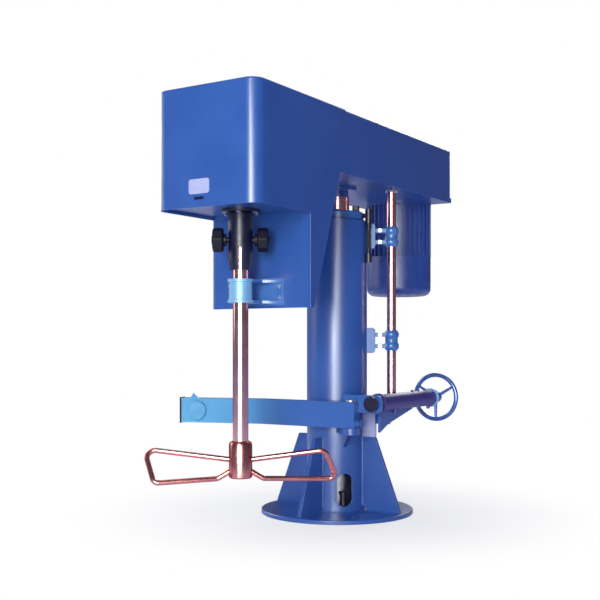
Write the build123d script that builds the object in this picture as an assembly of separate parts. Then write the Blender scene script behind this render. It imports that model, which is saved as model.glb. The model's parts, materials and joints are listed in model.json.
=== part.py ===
"""Tank agitator: a hydraulic lift column, a belt driven spindle head and a tank clamp.

Millimetres, +Z up. The origin is the centre of the floor plate's underside, on the column's axis.
The agitator shaft hangs in front of the column (-Y), the motor behind it (+Y), and the guide rod
and the clamp's handwheel are on the +X side. The head stands at its lowest position.
"""

from build123d import *
from math import asin, atan2, cos, degrees, hypot, radians, sin
import os

# Floor plate and gussets
BASE_DIA = 740.0
BASE_THICK = 20.0
BASE_CHAMFER = 3.0
FLOOR_BOLT_PCD = 600.0
FLOOR_BOLT_HOLE = 22.0
GUSSET_FOOT_R = 346.0
GUSSET_HEAD_R = 216.0
GUSSET_TOP = 375.0
GUSSET_THICK = 18.0
GUSSET_COPE = 22.0

# Column, its service slot and the gland on top
COLUMN_DIA = 294.0
COLUMN_WALL = 12.0
COLUMN_TOP = 1418.0
SLOT_WIDTH = 75.0
SLOT_HEIGHT = 158.0
SLOT_CENTRE_Z = 125.0
SLOT_ANGLE = -45.0
SLOT_RIM_WIDTH = 10.0
SLOT_RIM_PROUD = 6.0
GLAND_DIA = 262.0
GLAND_HEIGHT = 44.0
GLAND_GROOVE = 6.0
BUSH_WALL = 14.0
BUSH_DROP = 70.0
GLAND_SCREW_PCD = 214.0
GLAND_SCREWS = 6

# Lift cylinder and ram
BARREL_DIA = 170.0
BARREL_WALL = 15.0
END_CAP_THICK = 25.0
END_CAP_SPIGOT = 20.0
RAM_CLEARANCE = 10.0
RAM_WALL = 15.0
RAM_TOP = 1536.0
PISTON_THICK = 55.0
PISTON_REST = 95.0
NECK_DIA = 110.0
NECK_FLANGE_DIA = 190.0
NECK_FLANGE_THICK = 16.0
PORT_DIA = 28.0
PORT_Z = 105.0
RUN_FIT = 0.05
SEAT_GAP = 0.3

# Head: beam plate, front housing, hanging plate and belt cover
BEAM_UNDER = 1584.0
BEAM_THICK = 25.0
HEAD_TOP = 1870.0
HEAD_WIDTH = 516.0
HEAD_FRONT = -1054.0
HEAD_REAR = 784.0
HOUSING_REAR = -361.0
HOUSING_SKIRT = 1375.0
HOUSING_WALL = 8.0
HOUSING_CORNER = 60.0
HOUSING_EDGE = 10.0
WEB_SLANT_FOOT = -625.0
WEB_SLANT_HEAD = -405.0
HANG_FRONT = -656.0
HANG_BELOW_STEADY = 19.0
HANG_THICK = 12.0
FLOOR_UNDER = 1390.0
FLOOR_THICK = 12.0
COVER_INSET = 3.0
COVER_WALL = 4.0
COVER_CORNER = 14.0

# Spindle line
SPINDLE_Y = -802.3
SPINDLE_DIA = 60.0
SPINDLE_TOP = 1790.0
SPINDLE_FLANGE_DIA = 166.0
SPINDLE_FLANGE_THICK = 12.0
BEARING_HOUSING_DIA = 130.0
BEARING_HOUSING_TOP = 1560.0
BEARING_DIA = 90.0
BEARING_WIDTH = 25.0
BEARING_LIP = 6.0
SHAFT_DIA = 66.0
SHAFT_FOOT = 256.0
SLEEVE_DIA = 103.0
SLEEVE_GAP = 4.0
SLEEVE_LENGTH = 239.0
SLEEVE_TAPER = 34.0
SLEEVE_SLIT = 12.0
SLEEVE_SLIT_LENGTH = 95.0
SHAFT_JOINT_DROP = 49.0
BLADE_ANGLE = 32.617
KNOB_DROP = 112.0
KNOB_ACROSS = 104.0
KNOB_LENGTH = 46.0
KNOB_START = 72.0
KNOB_SCREW_DIA = 24.0

# Impeller: two bent bar loops on a hub
HUB_DIA = 99.0
HUB_TOP = 413.0
HUB_SHOULDER = 14.0
BAR_DIA = 22.0
BAR_TOP_Z = 377.0
BAR_LOW_Z = 244.0
BAR_HUB_TOP_Z = 334.0
BAR_HUB_LOW_Z = 287.0
BAR_KNEE_REACH = 96.0
BAR_KNEE_Z = 254.0
BAR_TOP_BEND = 34.0
BAR_LOW_BEND = 24.0
BAR_KNEE_BEND = 30.0
LONG_REACH = 411.0
SHORT_REACH = 356.0
TOP_LEAD = 19.0
LOW_TRAIL = 70.5

# Steady bearing under the coupling
STEADY_DROP = 38.0
STEADY_HEIGHT = 101.0
STEADY_DIA = 110.0
STEADY_WAIST = 98.0
STEADY_LIP = 13.0
STEADY_BUSH_WALL = 7.0
STEADY_PLATE_THICK = 12.0
STEADY_PAD_WIDTH = 262.0
STEADY_PAD_MARGIN = 9.0
STEADY_ARM_WIDTH = 92.0
STEADY_BOLT_RISE = 22.0
STEADY_BOLT_EDGE = 24.0
STEADY_NUT_PITCH = 24.0

# Belt drive
BELTS = 3
BELT_PITCH = 19.0
BELT_TOP_WIDTH = 17.0
BELT_LOW_WIDTH = 11.0
BELT_DEPTH = 11.0
BELT_GROOVE_FIT = 0.4
BELT_PLANE_Z = 1722.0
SPINDLE_PULLEY_DIA = 420.0
MOTOR_PULLEY_DIA = 150.0
PULLEY_MARGIN = 5.0
PULLEY_RIM = 26.0
PULLEY_WEB = 16.0

# Motor
MOTOR_Y = 665.6
MOTOR_DIA = 350.0
MOTOR_FIN_DEPTH = 14.0
MOTOR_FINS = 36
MOTOR_FIN_THICK = 5.0
MOTOR_FOOT = 1290.0
MOTOR_FLANGE_THICK = 18.0
MOTOR_SPIGOT_DIA = 130.0
ROTOR_DIA = 124.0
ROTOR_GAP = 1.0
ROTOR_LENGTH = 210.0
MOTOR_SHAFT_DIA = 42.0
MOTOR_BORE_END = 22.0
FAN_COVER_FOOT = 1080.0
FAN_COVER_WALL = 3.0
FAN_COVER_EDGE = 18.0
GRILLE_SLOT_LENGTH = 84.0
GRILLE_SLOT_WIDTH = 12.0
GRILLE_SLOT_REACH = 86.0
FAN_DIA = 260.0
FAN_BLADES = 8
FAN_Z = 1210.0
FAN_HEIGHT = 46.0
GRILLE_SLOTS = 12
TERMINAL_BOX = (60.0, 120.0, 110.0)

# Guide rod and its two brackets on the column
ROD_X = 222.5
ROD_Y = 150.0
ROD_DIA = 44.0
ROD_FOOT = 500.0
ROD_NUT_HEIGHT = 22.0
ROD_NUT_ACROSS = 64.0
ROD_STUD_DIA = 24.0
RING_DIA = 72.0
RING_HEIGHT = 100.0
RING_LIP = 5.0
LOWER_RING_FOOT = 788.0
UPPER_RING_FOOT = 1297.0
PAD_HEIGHT = 123.0
PAD_WIDTH = 70.0
PAD_DEPTH = 38.0
BRACKET_ARM_THICK = 20.0
BRACKET_ARM_WIDTH = 44.0

# Hydraulic line from the gland down the column's side
HOSE_DIA = 20.0
HOSE_ANGLE = 11.0
HOSE_REACH = 163.0
HOSE_TOP = 1404.0
HOSE_ENTRY = 1232.0
HOSE_FOOT = 1256.0
FITTING_DIA = 34.0
BANJO_REACH = 76.0

# Tank clamp: arm on a pin, closed by a screw and handwheel
PIVOT_X = 185.0
PIVOT_Y = -188.0
PIVOT_DIA = 32.0
PIVOT_HEAD_DIA = 46.0
PIVOT_HEAD = 10.0
EAR_THICK = 30.0
EAR_WIDTH = 76.0
ARM_FOOT = 430.0
ARM_TOP = 552.0
ARM_WIDTH = 50.0
ARM_WALL = 8.0
ARM_END_X = 215.0
ARM_SOLID = 75.0
ARM_KINK_X = -308.0
ARM_KINK_ANGLE = 18.2
ARM_OUTER = 420.0
ARM_END_PLATE = 8.0
PAD_DISC_DIA = 94.0
PAD_DISC_THICK = 22.0
PAD_FROM_TIP = 86.0
FIN_LENGTH = 44.0
FIN_HEIGHT = 26.0
FIN_FROM_TIP = 40.0
TAIL_THICK = 14.0
TAIL_END_X = 334.0
TAIL_START_X = 128.0
TAIL_SLOT = 46.0
TAIL_SLOT_SHIFT = 3.0
TAIL_HOLE = 32.0
SCREW_X = 290.0
SCREW_Z = 545.0
SCREW_DIA = 24.0
NOSE_DIA = 70.0
NOSE_LENGTH = 30.0
NOSE_DOME_R = 42.0
NOSE_GAP = 0.4
TUBE_DIA = 80.0
TUBE_WALL = 10.0
TUBE_FRONT = -120.0
TUBE_REAR = 446.0
TUBE_COLLAR = 16.0
TUBE_COLLAR_PROUD = 6.0
TUBE_FOOT_FRONT = 150.0
TUBE_FOOT_REAR = 56.0
GREASE_NEAR = 136.0
GREASE_PITCH = 70.0
FLANGE_DIA = 95.0
FLANGE_THICK = 14.0
BUSH_LENGTH = 70.0
SUPPORT_THICK = 12.0
SUPPORT_X = 290.0
SUPPORT_FRONT = -106.0
SUPPORT_FOOT = 408.0
SUPPORT_KNEE = -24.0
SUPPORT_KNEE_RISE = 35.0
SUPPORT_HOLLOW = 102.0
SUPPORT_HOLLOW_RISE = 64.0
SUPPORT_REAR = 233.0
LUG_TOP = 496.0
LUG_THICK = 16.0
TIE_FOOT = 440.0

# Handwheel
WHEEL_DIA = 250.0
WHEEL_RIM_DIA = 22.0
WHEEL_Y = 516.0
WHEEL_HUB_DIA = 56.0
WHEEL_HUB_START = 464.0
WHEEL_HUB_END = 534.0
WHEEL_SPOKES = (30.0, 150.0, 270.0)
SPOKE_DIA = 15.0

# Hexagon fasteners
BOLT_DIA = 12.0
BOLT_HEAD = 8.0
BOLT_ACROSS = 19.0
BOLT_HOLE_FIT = 1.0

COLUMN_R = COLUMN_DIA / 2
BEAM_TOP = BEAM_UNDER + BEAM_THICK
GLAND_TOP = COLUMN_TOP + GLAND_HEIGHT
HALF_WIDTH = HEAD_WIDTH / 2
RAM_DIA = BARREL_DIA - 2 * (BARREL_WALL + RAM_CLEARANCE)
MOTOR_CORE_DIA = MOTOR_DIA - 2 * MOTOR_FIN_DEPTH
SPINDLE_R = SPINDLE_DIA / 2
SLEEVE_TOP = FLOOR_UNDER - SPINDLE_FLANGE_THICK - SLEEVE_GAP
SLEEVE_FOOT = SLEEVE_TOP - SLEEVE_LENGTH
SLEEVE_SLIT_TOP = SLEEVE_FOOT + SLEEVE_SLIT_LENGTH
SHAFT_JOINT_Z = SLEEVE_TOP - SHAFT_JOINT_DROP
KNOB_Z = SLEEVE_TOP - KNOB_DROP
STEADY_TOP = SLEEVE_FOOT - STEADY_DROP
STEADY_FOOT = STEADY_TOP - STEADY_HEIGHT
HANG_FOOT = STEADY_FOOT - HANG_BELOW_STEADY
SHAFT_R = SHAFT_DIA / 2
PULLEY_FACE = BELTS * BELT_PITCH + 2 * PULLEY_MARGIN
ROD_R = hypot(ROD_X, ROD_Y)
ROD_ANGLE = degrees(atan2(ROD_Y, ROD_X))
ARM_BACK = PIVOT_Y + ARM_WIDTH / 2
BOTTOM = (Align.CENTER, Align.CENTER, Align.MIN)
CORNER = (Align.MIN, Align.MIN, Align.MIN)


# ---------------------------------------------------------------- shape helpers
def post(radius, low, high, x=0.0, y=0.0):
    """Upright round bar between two heights."""
    return Pos(x, y, low) * Cylinder(radius, high - low, align=BOTTOM)


def ring(outer, inner, low, high, x=0.0, y=0.0):
    """Upright tube between two heights, given its two radii."""
    return post(outer, low, high, x, y) - post(inner, low - 1, high + 1, x, y)


def bar_y(radius, start, end, x=SCREW_X, z=SCREW_Z):
    """Level round bar along Y."""
    return Pos(x, start, z) * Rot(-90, 0, 0) * Cylinder(radius, end - start, align=BOTTOM)


def bar_out(radius, start, end, z, angle):
    """Level round bar pointing away from the vertical axis at an angle from +X."""
    return Rot(0, 0, angle) * Pos(start, 0, z) * Rot(0, 90, 0) * Cylinder(radius, end - start, align=BOTTOM)


def block(x, y, z):
    """Box between pairs of limits."""
    return Pos(x[0], y[0], z[0]) * Box(x[1] - x[0], y[1] - y[0], z[1] - z[0], align=CORNER)


def face(*points):
    """Flat face with straight sides."""
    return make_face(Polyline(*points, close=True))


def turned(*points, x=0.0, y=0.0):
    """Solid of revolution from (radius, height) points about an upright axis."""
    return Pos(x, y, 0) * revolve(Plane.XZ * face(*points), Axis.Z)


def plate_yz(outline, x_low, x_high):
    """Upright plate across X from an outline of (y, z) points."""
    return Pos(x_low, 0, 0) * extrude(Plane.YZ * face(*outline), x_high - x_low)


def polar(count, radius, start=0.0, x=0.0, y=0.0):
    """Places spread evenly on a circle."""
    steps = [radians(start + 360 * i / count) for i in range(count)]
    return [(x + radius * cos(a), y + radius * sin(a)) for a in steps]


def group(solids):
    """Separate solids kept together in one node."""
    return Compound(children=list(solids))


def hex_bolt(shank):
    """Bolt with its head's underside at the origin, head up and shank down."""
    head = extrude(RegularPolygon(BOLT_ACROSS / 2, 6, major_radius=False), BOLT_HEAD)
    head = chamfer(head.faces().sort_by(Axis.Z)[-1].edges(), 1.2)
    return head + post(BOLT_DIA / 2, -shank, 0.5)


def bolt_holes(places, low, high):
    """Clearance holes at a list of places."""
    radius = (BOLT_DIA + BOLT_HOLE_FIT) / 2
    return [post(radius, low, high, x, y) for x, y in places]


FLOOR_BOLTS = polar(4, FLOOR_BOLT_PCD / 2, 45)
GLAND_SCREW_PLACES = polar(GLAND_SCREWS, GLAND_SCREW_PCD / 2)
NECK_BOLT_PLACES = polar(6, (NECK_FLANGE_DIA + NECK_DIA) / 4, 0)
MOTOR_BOLT_PLACES = polar(4, (MOTOR_CORE_DIA + MOTOR_SPIGOT_DIA) / 4, 45, 0, MOTOR_Y)
FLANGE_BOLT_PLACES = polar(6, (SPINDLE_FLANGE_DIA + BEARING_HOUSING_DIA) / 4, 0, 0, SPINDLE_Y)


# ---------------------------------------------------------------- floor plate and column
def base_plate():
    plate = post(BASE_DIA / 2, 0, BASE_THICK)
    plate = chamfer(plate.edges().group_by(Axis.Z)[-1], BASE_CHAMFER)
    for x, y in FLOOR_BOLTS:
        plate -= post(FLOOR_BOLT_HOLE / 2, -1, BASE_THICK + 1, x, y)
    return plate


def base_gussets():
    outline = [
        (COLUMN_R - 20, BASE_THICK),
        (GUSSET_FOOT_R, BASE_THICK),
        (GUSSET_FOOT_R, BASE_THICK + 12),
        (GUSSET_HEAD_R, GUSSET_TOP),
        (COLUMN_R - 20, GUSSET_TOP),
    ]
    web = Pos(0, GUSSET_THICK / 2, 0) * extrude(Plane.XZ * face(*outline), GUSSET_THICK)
    web -= Pos(COLUMN_R, 0, BASE_THICK) * Rot(90, 0, 0) * Cylinder(GUSSET_COPE, GUSSET_THICK + 2)
    web -= post(COLUMN_R, 0, COLUMN_TOP)
    return group(Rot(0, 0, 90 * i) * web for i in range(4))


def slot_prism(margin, start, end):
    """Oblong prism through the column wall, in line with the service slot."""
    width = SLOT_WIDTH + 2 * margin
    height = SLOT_HEIGHT + 2 * margin
    oblong = Plane.YZ * SlotOverall(height, width, rotation=90)
    return Rot(0, 0, SLOT_ANGLE) * Pos(start, 0, SLOT_CENTRE_Z) * extrude(oblong, end - start)


def column_tube():
    tube = ring(COLUMN_R, COLUMN_R - COLUMN_WALL, BASE_THICK, COLUMN_TOP)
    return tube - slot_prism(0, COLUMN_R - COLUMN_WALL - 10, COLUMN_R + 10)


def service_slot_rim():
    rim = slot_prism(SLOT_RIM_WIDTH, COLUMN_R - COLUMN_WALL - 10, COLUMN_R + 10)
    rim -= slot_prism(0, COLUMN_R - COLUMN_WALL - 20, COLUMN_R + 20)
    skin = ring(COLUMN_R + SLOT_RIM_PROUD, COLUMN_R, BASE_THICK, COLUMN_TOP)
    return rim & skin


def gland_collar():
    outer = GLAND_DIA / 2
    neck = outer - GLAND_GROOVE
    bore = RAM_DIA / 2 + BUSH_WALL
    collar = turned(
        (bore, COLUMN_TOP),
        (neck, COLUMN_TOP),
        (neck, COLUMN_TOP + GLAND_GROOVE),
        (outer, COLUMN_TOP + GLAND_GROOVE),
        (outer, GLAND_TOP - 5),
        (outer - 5, GLAND_TOP),
        (bore, GLAND_TOP),
    )
    for x, y in GLAND_SCREW_PLACES:
        collar -= post((BOLT_DIA + BOLT_HOLE_FIT) / 2, COLUMN_TOP + 10, GLAND_TOP + 1, x, y)
    return collar


def gland_bush():
    outer = RAM_DIA / 2 + BUSH_WALL
    inner = RAM_DIA / 2 + RUN_FIT
    guide = BARREL_DIA / 2 - BARREL_WALL
    return turned(
        (inner, COLUMN_TOP - BUSH_DROP),
        (guide, COLUMN_TOP - BUSH_DROP),
        (guide, COLUMN_TOP),
        (outer, COLUMN_TOP),
        (outer, GLAND_TOP - 6),
        (inner + 3, GLAND_TOP),
        (inner, GLAND_TOP),
    )


def gland_screws():
    screw = hex_bolt(GLAND_HEIGHT - 14)
    return group(Pos(x, y, GLAND_TOP) * screw for x, y in GLAND_SCREW_PLACES)


# ---------------------------------------------------------------- lift cylinder
def cylinder_barrel():
    low = BASE_THICK + END_CAP_THICK
    tube = ring(BARREL_DIA / 2, BARREL_DIA / 2 - BARREL_WALL, low, COLUMN_TOP)
    port = bar_out(PORT_DIA / 4, BARREL_DIA / 2 - BARREL_WALL - 5, BARREL_DIA / 2 + 5, PORT_Z, SLOT_ANGLE)
    return tube - port


def cylinder_end_cap():
    low = BASE_THICK + END_CAP_THICK
    spigot = BARREL_DIA / 2 - BARREL_WALL - RUN_FIT
    return post(BARREL_DIA / 2, BASE_THICK, low) + post(spigot, low - 1, low + END_CAP_SPIGOT)


def cylinder_port_elbow():
    """Screwed elbow on the cylinder's port, seen through the service slot."""
    reach = BARREL_DIA / 2 + 34
    body = bar_out(PORT_DIA / 2, BARREL_DIA / 2 - 5, reach, PORT_Z, SLOT_ANGLE)
    x = reach * cos(radians(SLOT_ANGLE))
    y = reach * sin(radians(SLOT_ANGLE))
    body += Pos(x, y, PORT_Z) * Sphere(PORT_DIA / 2)
    body += post(PORT_DIA / 2, PORT_Z - 34, PORT_Z, x, y)
    body += post(PORT_DIA / 2 + 3, PORT_Z - 56, PORT_Z - 34, x, y)
    return body - post(BARREL_DIA / 2, 0, COLUMN_TOP)


def ram_tube():
    return ring(RAM_DIA / 2, RAM_DIA / 2 - RAM_WALL, PISTON_REST + PISTON_THICK, RAM_TOP)


def ram_piston():
    outer = BARREL_DIA / 2 - BARREL_WALL - RUN_FIT
    top = PISTON_REST + PISTON_THICK
    piston = post(outer, PISTON_REST, top)
    piston -= ring(outer + 1, outer - 6, PISTON_REST + 22, PISTON_REST + 34)
    return piston + post(RAM_DIA / 2 - RAM_WALL - RUN_FIT, top - 1, top + 25)


def ram_neck():
    neck = post(NECK_DIA / 2, RAM_TOP, BEAM_UNDER)
    neck += post(NECK_FLANGE_DIA / 2, BEAM_UNDER - NECK_FLANGE_THICK, BEAM_UNDER)
    neck += post(RAM_DIA / 2 - RAM_WALL - RUN_FIT, RAM_TOP - 40, RAM_TOP + 1)
    for hole in bolt_holes(NECK_BOLT_PLACES, BEAM_UNDER - NECK_FLANGE_THICK - 1, BEAM_UNDER + 1):
        neck -= hole
    return neck


# ---------------------------------------------------------------- hydraulic line
def swivel_elbow(root, start, low, high, port_z):
    """Elbow fitting with a level stem from a round wall and an upright swivel on the hose's line."""
    radius = FITTING_DIA / 2
    stem = bar_out(radius - 6, start, HOSE_REACH, port_z, 0)
    body = stem + post(radius, low, high, HOSE_REACH, 0)
    body = body - post(root, 0, GLAND_TOP) - post(COLUMN_R, 0, COLUMN_TOP)
    return Rot(0, 0, HOSE_ANGLE) * body


def hose_fittings():
    """Banjo block on the gland, the elbow beside it and the elbow where the hose meets the column."""
    port_z = COLUMN_TOP + (GLAND_HEIGHT + GLAND_GROOVE) / 2
    upper = swivel_elbow(GLAND_DIA / 2, GLAND_DIA / 2 - 10, HOSE_TOP, GLAND_TOP + 12, port_z)
    lower = swivel_elbow(COLUMN_R, COLUMN_R - 10, HOSE_ENTRY - FITTING_DIA / 2, HOSE_FOOT, HOSE_ENTRY)
    banjo = block((BANJO_REACH, BANJO_REACH + FITTING_DIA), (-FITTING_DIA / 2, FITTING_DIA / 2),
                  (GLAND_TOP, GLAND_TOP + FITTING_DIA))
    banjo = Rot(0, 0, ROD_ANGLE) * fillet(banjo.edges().filter_by(Axis.Z), 8)
    return group([upper, lower, banjo])


def hydraulic_hose():
    """Hose held along the column's side between the two elbows."""
    return Rot(0, 0, HOSE_ANGLE) * post(HOSE_DIA / 2, HOSE_FOOT, HOSE_TOP, HOSE_REACH, 0)


# ---------------------------------------------------------------- head structure
def front_housing():
    """Front casing with side plates that run down beside the hanging plate."""
    side = [
        (HEAD_FRONT, HEAD_TOP),
        (HEAD_FRONT, HOUSING_SKIRT),
        (HANG_FRONT, HOUSING_SKIRT),
        (HANG_FRONT, HANG_FOOT),
        (WEB_SLANT_FOOT, HANG_FOOT),
        (WEB_SLANT_HEAD, BEAM_UNDER),
        (HOUSING_REAR, BEAM_UNDER),
        (HOUSING_REAR, HEAD_TOP),
    ]
    shell = plate_yz(side, -HALF_WIDTH, HALF_WIDTH)
    shell = fillet(shell.edges().filter_by(Axis.Z).group_by(Axis.Y)[0], HOUSING_CORNER)
    top = shell.faces().sort_by(Axis.Z)[-1].edges()
    shell = fillet(top.filter_by(lambda edge: edge.center().Y < HOUSING_REAR - 1), HOUSING_EDGE)
    inner = HALF_WIDTH - HOUSING_WALL
    core = block(
        (-inner, inner),
        (HEAD_FRONT + HOUSING_WALL, HOUSING_REAR + 50),
        (HANG_FOOT - 50, HEAD_TOP - HOUSING_WALL),
    )
    corners = core.edges().filter_by(Axis.Z).group_by(Axis.Y)[0]
    core = fillet(corners, HOUSING_CORNER - HOUSING_WALL)
    return shell - core


def front_floor():
    """Floor of the front casing, which carries the spindle's bearing housing."""
    inner = HALF_WIDTH - HOUSING_WALL
    high = FLOOR_UNDER + FLOOR_THICK
    plate = block((-inner, inner), (HEAD_FRONT + HOUSING_WALL, HANG_FRONT), (FLOOR_UNDER, high))
    corners = plate.edges().filter_by(Axis.Z).group_by(Axis.Y)[0]
    plate = fillet(corners, HOUSING_CORNER - HOUSING_WALL)
    plate -= post(BEARING_HOUSING_DIA / 2, FLOOR_UNDER - 1, high + 1, 0, SPINDLE_Y)
    for hole in bolt_holes(FLANGE_BOLT_PLACES, FLOOR_UNDER - 1, high + 1):
        plate -= hole
    return plate


def hanging_plate():
    inner = HALF_WIDTH - HOUSING_WALL
    plate = block((-inner, inner), (HANG_FRONT, HANG_FRONT + HANG_THICK), (HANG_FOOT, BEAM_UNDER))
    for x, z in STEADY_BOLT_PLACES:
        plate -= bar_y((BOLT_DIA + BOLT_HOLE_FIT) / 2, HANG_FRONT - 1, HANG_FRONT + HANG_THICK + 1, x, z)
    return plate


def beam_plate():
    """Thick plate that joins the front casing, the ram's neck and the motor."""
    inner = HALF_WIDTH - HOUSING_WALL
    plate = block((-HALF_WIDTH, HALF_WIDTH), (HOUSING_REAR, HEAD_REAR), (BEAM_UNDER, BEAM_TOP))
    plate += block((-inner, inner), (HANG_FRONT, HOUSING_REAR + 1), (BEAM_UNDER, BEAM_TOP))
    plate -= post(MOTOR_SPIGOT_DIA / 2, BEAM_UNDER - 1, BEAM_TOP + 1, 0, MOTOR_Y)
    plate -= post(ROD_STUD_DIA / 2 + RUN_FIT, BEAM_UNDER - 1, BEAM_TOP + 1, ROD_X, ROD_Y)
    for hole in bolt_holes(NECK_BOLT_PLACES + MOTOR_BOLT_PLACES, BEAM_UNDER - 1, BEAM_TOP + 1):
        plate -= hole
    return plate


def belt_cover():
    """Long shallow cover over the belts, open towards the front casing and the beam."""
    half = HALF_WIDTH - COVER_INSET
    high = HEAD_TOP - COVER_INSET
    cover = block((-half, half), (HOUSING_REAR, HEAD_REAR), (BEAM_TOP, high))
    rear_corners = cover.edges().filter_by(Axis.Z).group_by(Axis.Y)[-1]
    cover = fillet(rear_corners, COVER_CORNER)
    top = cover.faces().sort_by(Axis.Z)[-1].edges()
    cover = fillet(top.filter_by(lambda edge: edge.center().Y > HOUSING_REAR + 1), HOUSING_EDGE)
    wall = COVER_WALL
    core = block(
        (wall - half, half - wall),
        (HOUSING_REAR - 10, HEAD_REAR - wall),
        (BEAM_TOP - 10, high - wall),
    )
    core = fillet(core.edges().filter_by(Axis.Z).group_by(Axis.Y)[-1], COVER_CORNER - wall)
    return cover - core


def housing_bolts():
    """Bolts of the ram's neck, the motor and the spindle flange."""
    neck = hex_bolt(BEAM_THICK + NECK_FLANGE_THICK)
    motor = hex_bolt(BEAM_THICK + MOTOR_FLANGE_THICK)
    flange = Rot(180, 0, 0) * hex_bolt(SPINDLE_FLANGE_THICK + FLOOR_THICK)
    low = FLOOR_UNDER - SPINDLE_FLANGE_THICK
    bolts = [Pos(x, y, BEAM_TOP) * neck for x, y in NECK_BOLT_PLACES]
    bolts += [Pos(x, y, BEAM_TOP) * motor for x, y in MOTOR_BOLT_PLACES]
    bolts += [Pos(x, y, low) * flange for x, y in FLANGE_BOLT_PLACES]
    return group(bolts)


# ---------------------------------------------------------------- spindle bearings and coupling
def bearing_housing():
    """Bearing tube that stands in the front casing, with its flange under the floor."""
    outer = BEARING_HOUSING_DIA / 2
    bore = BEARING_DIA / 2
    lip = SPINDLE_R + 5
    low = FLOOR_UNDER - SPINDLE_FLANGE_THICK
    housing = turned(
        (lip, low),
        (SPINDLE_FLANGE_DIA / 2 - 3, low),
        (SPINDLE_FLANGE_DIA / 2, low + 3),
        (SPINDLE_FLANGE_DIA / 2, FLOOR_UNDER),
        (outer, FLOOR_UNDER),
        (outer, BEARING_HOUSING_TOP),
        (bore, BEARING_HOUSING_TOP),
        (bore, low + BEARING_LIP),
        (lip, low + BEARING_LIP),
        y=SPINDLE_Y,
    )
    for hole in bolt_holes(FLANGE_BOLT_PLACES, low - 1, FLOOR_UNDER + 1):
        housing -= hole
    return housing


def spindle_bearings():
    low = FLOOR_UNDER - SPINDLE_FLANGE_THICK + BEARING_LIP
    high = BEARING_HOUSING_TOP - BEARING_WIDTH
    outer = BEARING_DIA / 2
    inner = SPINDLE_R + RUN_FIT
    return group(ring(outer, inner, z, z + BEARING_WIDTH, 0, SPINDLE_Y) for z in (low, high))


def drive_spindle():
    shoulder = SLEEVE_TOP + 2
    spindle = post(SPINDLE_R, shoulder - 1, SPINDLE_TOP, 0, SPINDLE_Y)
    spindle = chamfer(spindle.edges().group_by(Axis.Z)[-1], 3)
    return spindle + post(SHAFT_R, SHAFT_JOINT_Z + 5, shoulder, 0, SPINDLE_Y)


def coupling_sleeve():
    """Sleeve that joins the spindle to the shaft, slit at its lower front and tapered at its foot."""
    outer = SLEEVE_DIA / 2
    bore = SHAFT_R + RUN_FIT
    sleeve = turned(
        (bore, SLEEVE_FOOT),
        (outer - 8, SLEEVE_FOOT),
        (outer - 2, SLEEVE_FOOT + SLEEVE_TAPER),
        (outer, SLEEVE_FOOT + 2 * SLEEVE_TAPER),
        (outer, SLEEVE_TOP - 3),
        (outer - 3, SLEEVE_TOP),
        (bore, SLEEVE_TOP),
        y=SPINDLE_Y,
    )
    half_slit = SLEEVE_SLIT / 2
    slit = block((SHAFT_R - 4, outer + 5), (-half_slit, half_slit), (SLEEVE_FOOT - 5, SLEEVE_SLIT_TOP))
    sleeve -= Pos(0, SPINDLE_Y, 0) * Rot(0, 0, BLADE_ANGLE - 90) * slit
    for angle in (BLADE_ANGLE, BLADE_ANGLE + 180):
        radius = KNOB_SCREW_DIA / 2 + RUN_FIT
        sleeve -= Pos(0, SPINDLE_Y, 0) * bar_out(radius, SHAFT_R - 4, outer + 5, KNOB_Z, angle)
    return sleeve


def sleeve_knob(angle):
    """Octagonal hand knob whose screw runs through the sleeve to the shaft."""
    octagon = extrude(RegularPolygon(KNOB_ACROSS / 2, 8), KNOB_LENGTH)
    octagon = chamfer(octagon.faces().filter_by(Axis.Z).edges(), 5)
    hub = Pos(0, 0, -12) * Cylinder(26, 13, align=BOTTOM)
    cap = Pos(0, 0, KNOB_LENGTH - 1) * Cylinder(18, 5, align=BOTTOM)
    screw = Pos(0, 0, SHAFT_R + SEAT_GAP - KNOB_START) * Cylinder(
        KNOB_SCREW_DIA / 2, KNOB_START - SHAFT_R, align=BOTTOM
    )
    knob = octagon + hub + cap + screw
    return Pos(0, SPINDLE_Y, KNOB_Z) * Rot(0, 0, angle) * Pos(KNOB_START, 0, 0) * Rot(0, 90, 0) * knob


# ---------------------------------------------------------------- shaft and impeller
def agitator_shaft():
    return post(SHAFT_R, SHAFT_FOOT, SHAFT_JOINT_Z, 0, SPINDLE_Y)


def impeller_hub():
    outer = HUB_DIA / 2
    return turned(
        (SHAFT_R, SHAFT_FOOT),
        (outer - 6, SHAFT_FOOT),
        (outer, SHAFT_FOOT + 6),
        (outer, HUB_TOP - HUB_SHOULDER),
        (outer - 4, HUB_TOP - 4),
        (SHAFT_R + 3, HUB_TOP),
        (SHAFT_R, HUB_TOP),
        y=SPINDLE_Y,
    )


def impeller_loop(angle, top_reach, low_reach):
    """Closed loop of round bar: a rising top bar, an outer bar and a lower bar that curves into the hub."""
    inside = HUB_DIA / 2 - 8
    start = (inside, 0, BAR_HUB_TOP_Z)
    path = FilletPolyline(
        start,
        (top_reach, -TOP_LEAD, BAR_TOP_Z),
        (low_reach, LOW_TRAIL, BAR_LOW_Z),
        (BAR_KNEE_REACH, 4, BAR_KNEE_Z),
        (inside, 0, BAR_HUB_LOW_Z),
        radius=[BAR_TOP_BEND, BAR_LOW_BEND, BAR_KNEE_BEND],
    )
    direction = (top_reach - inside, -TOP_LEAD, BAR_TOP_Z - BAR_HUB_TOP_Z)
    section = Plane(origin=start, z_dir=direction) * Circle(BAR_DIA / 2)
    loop = sweep(section, path) - post(HUB_DIA / 2, 0, BAR_TOP_Z + 60)
    return Pos(0, SPINDLE_Y, 0) * Rot(0, 0, angle) * loop


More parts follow.
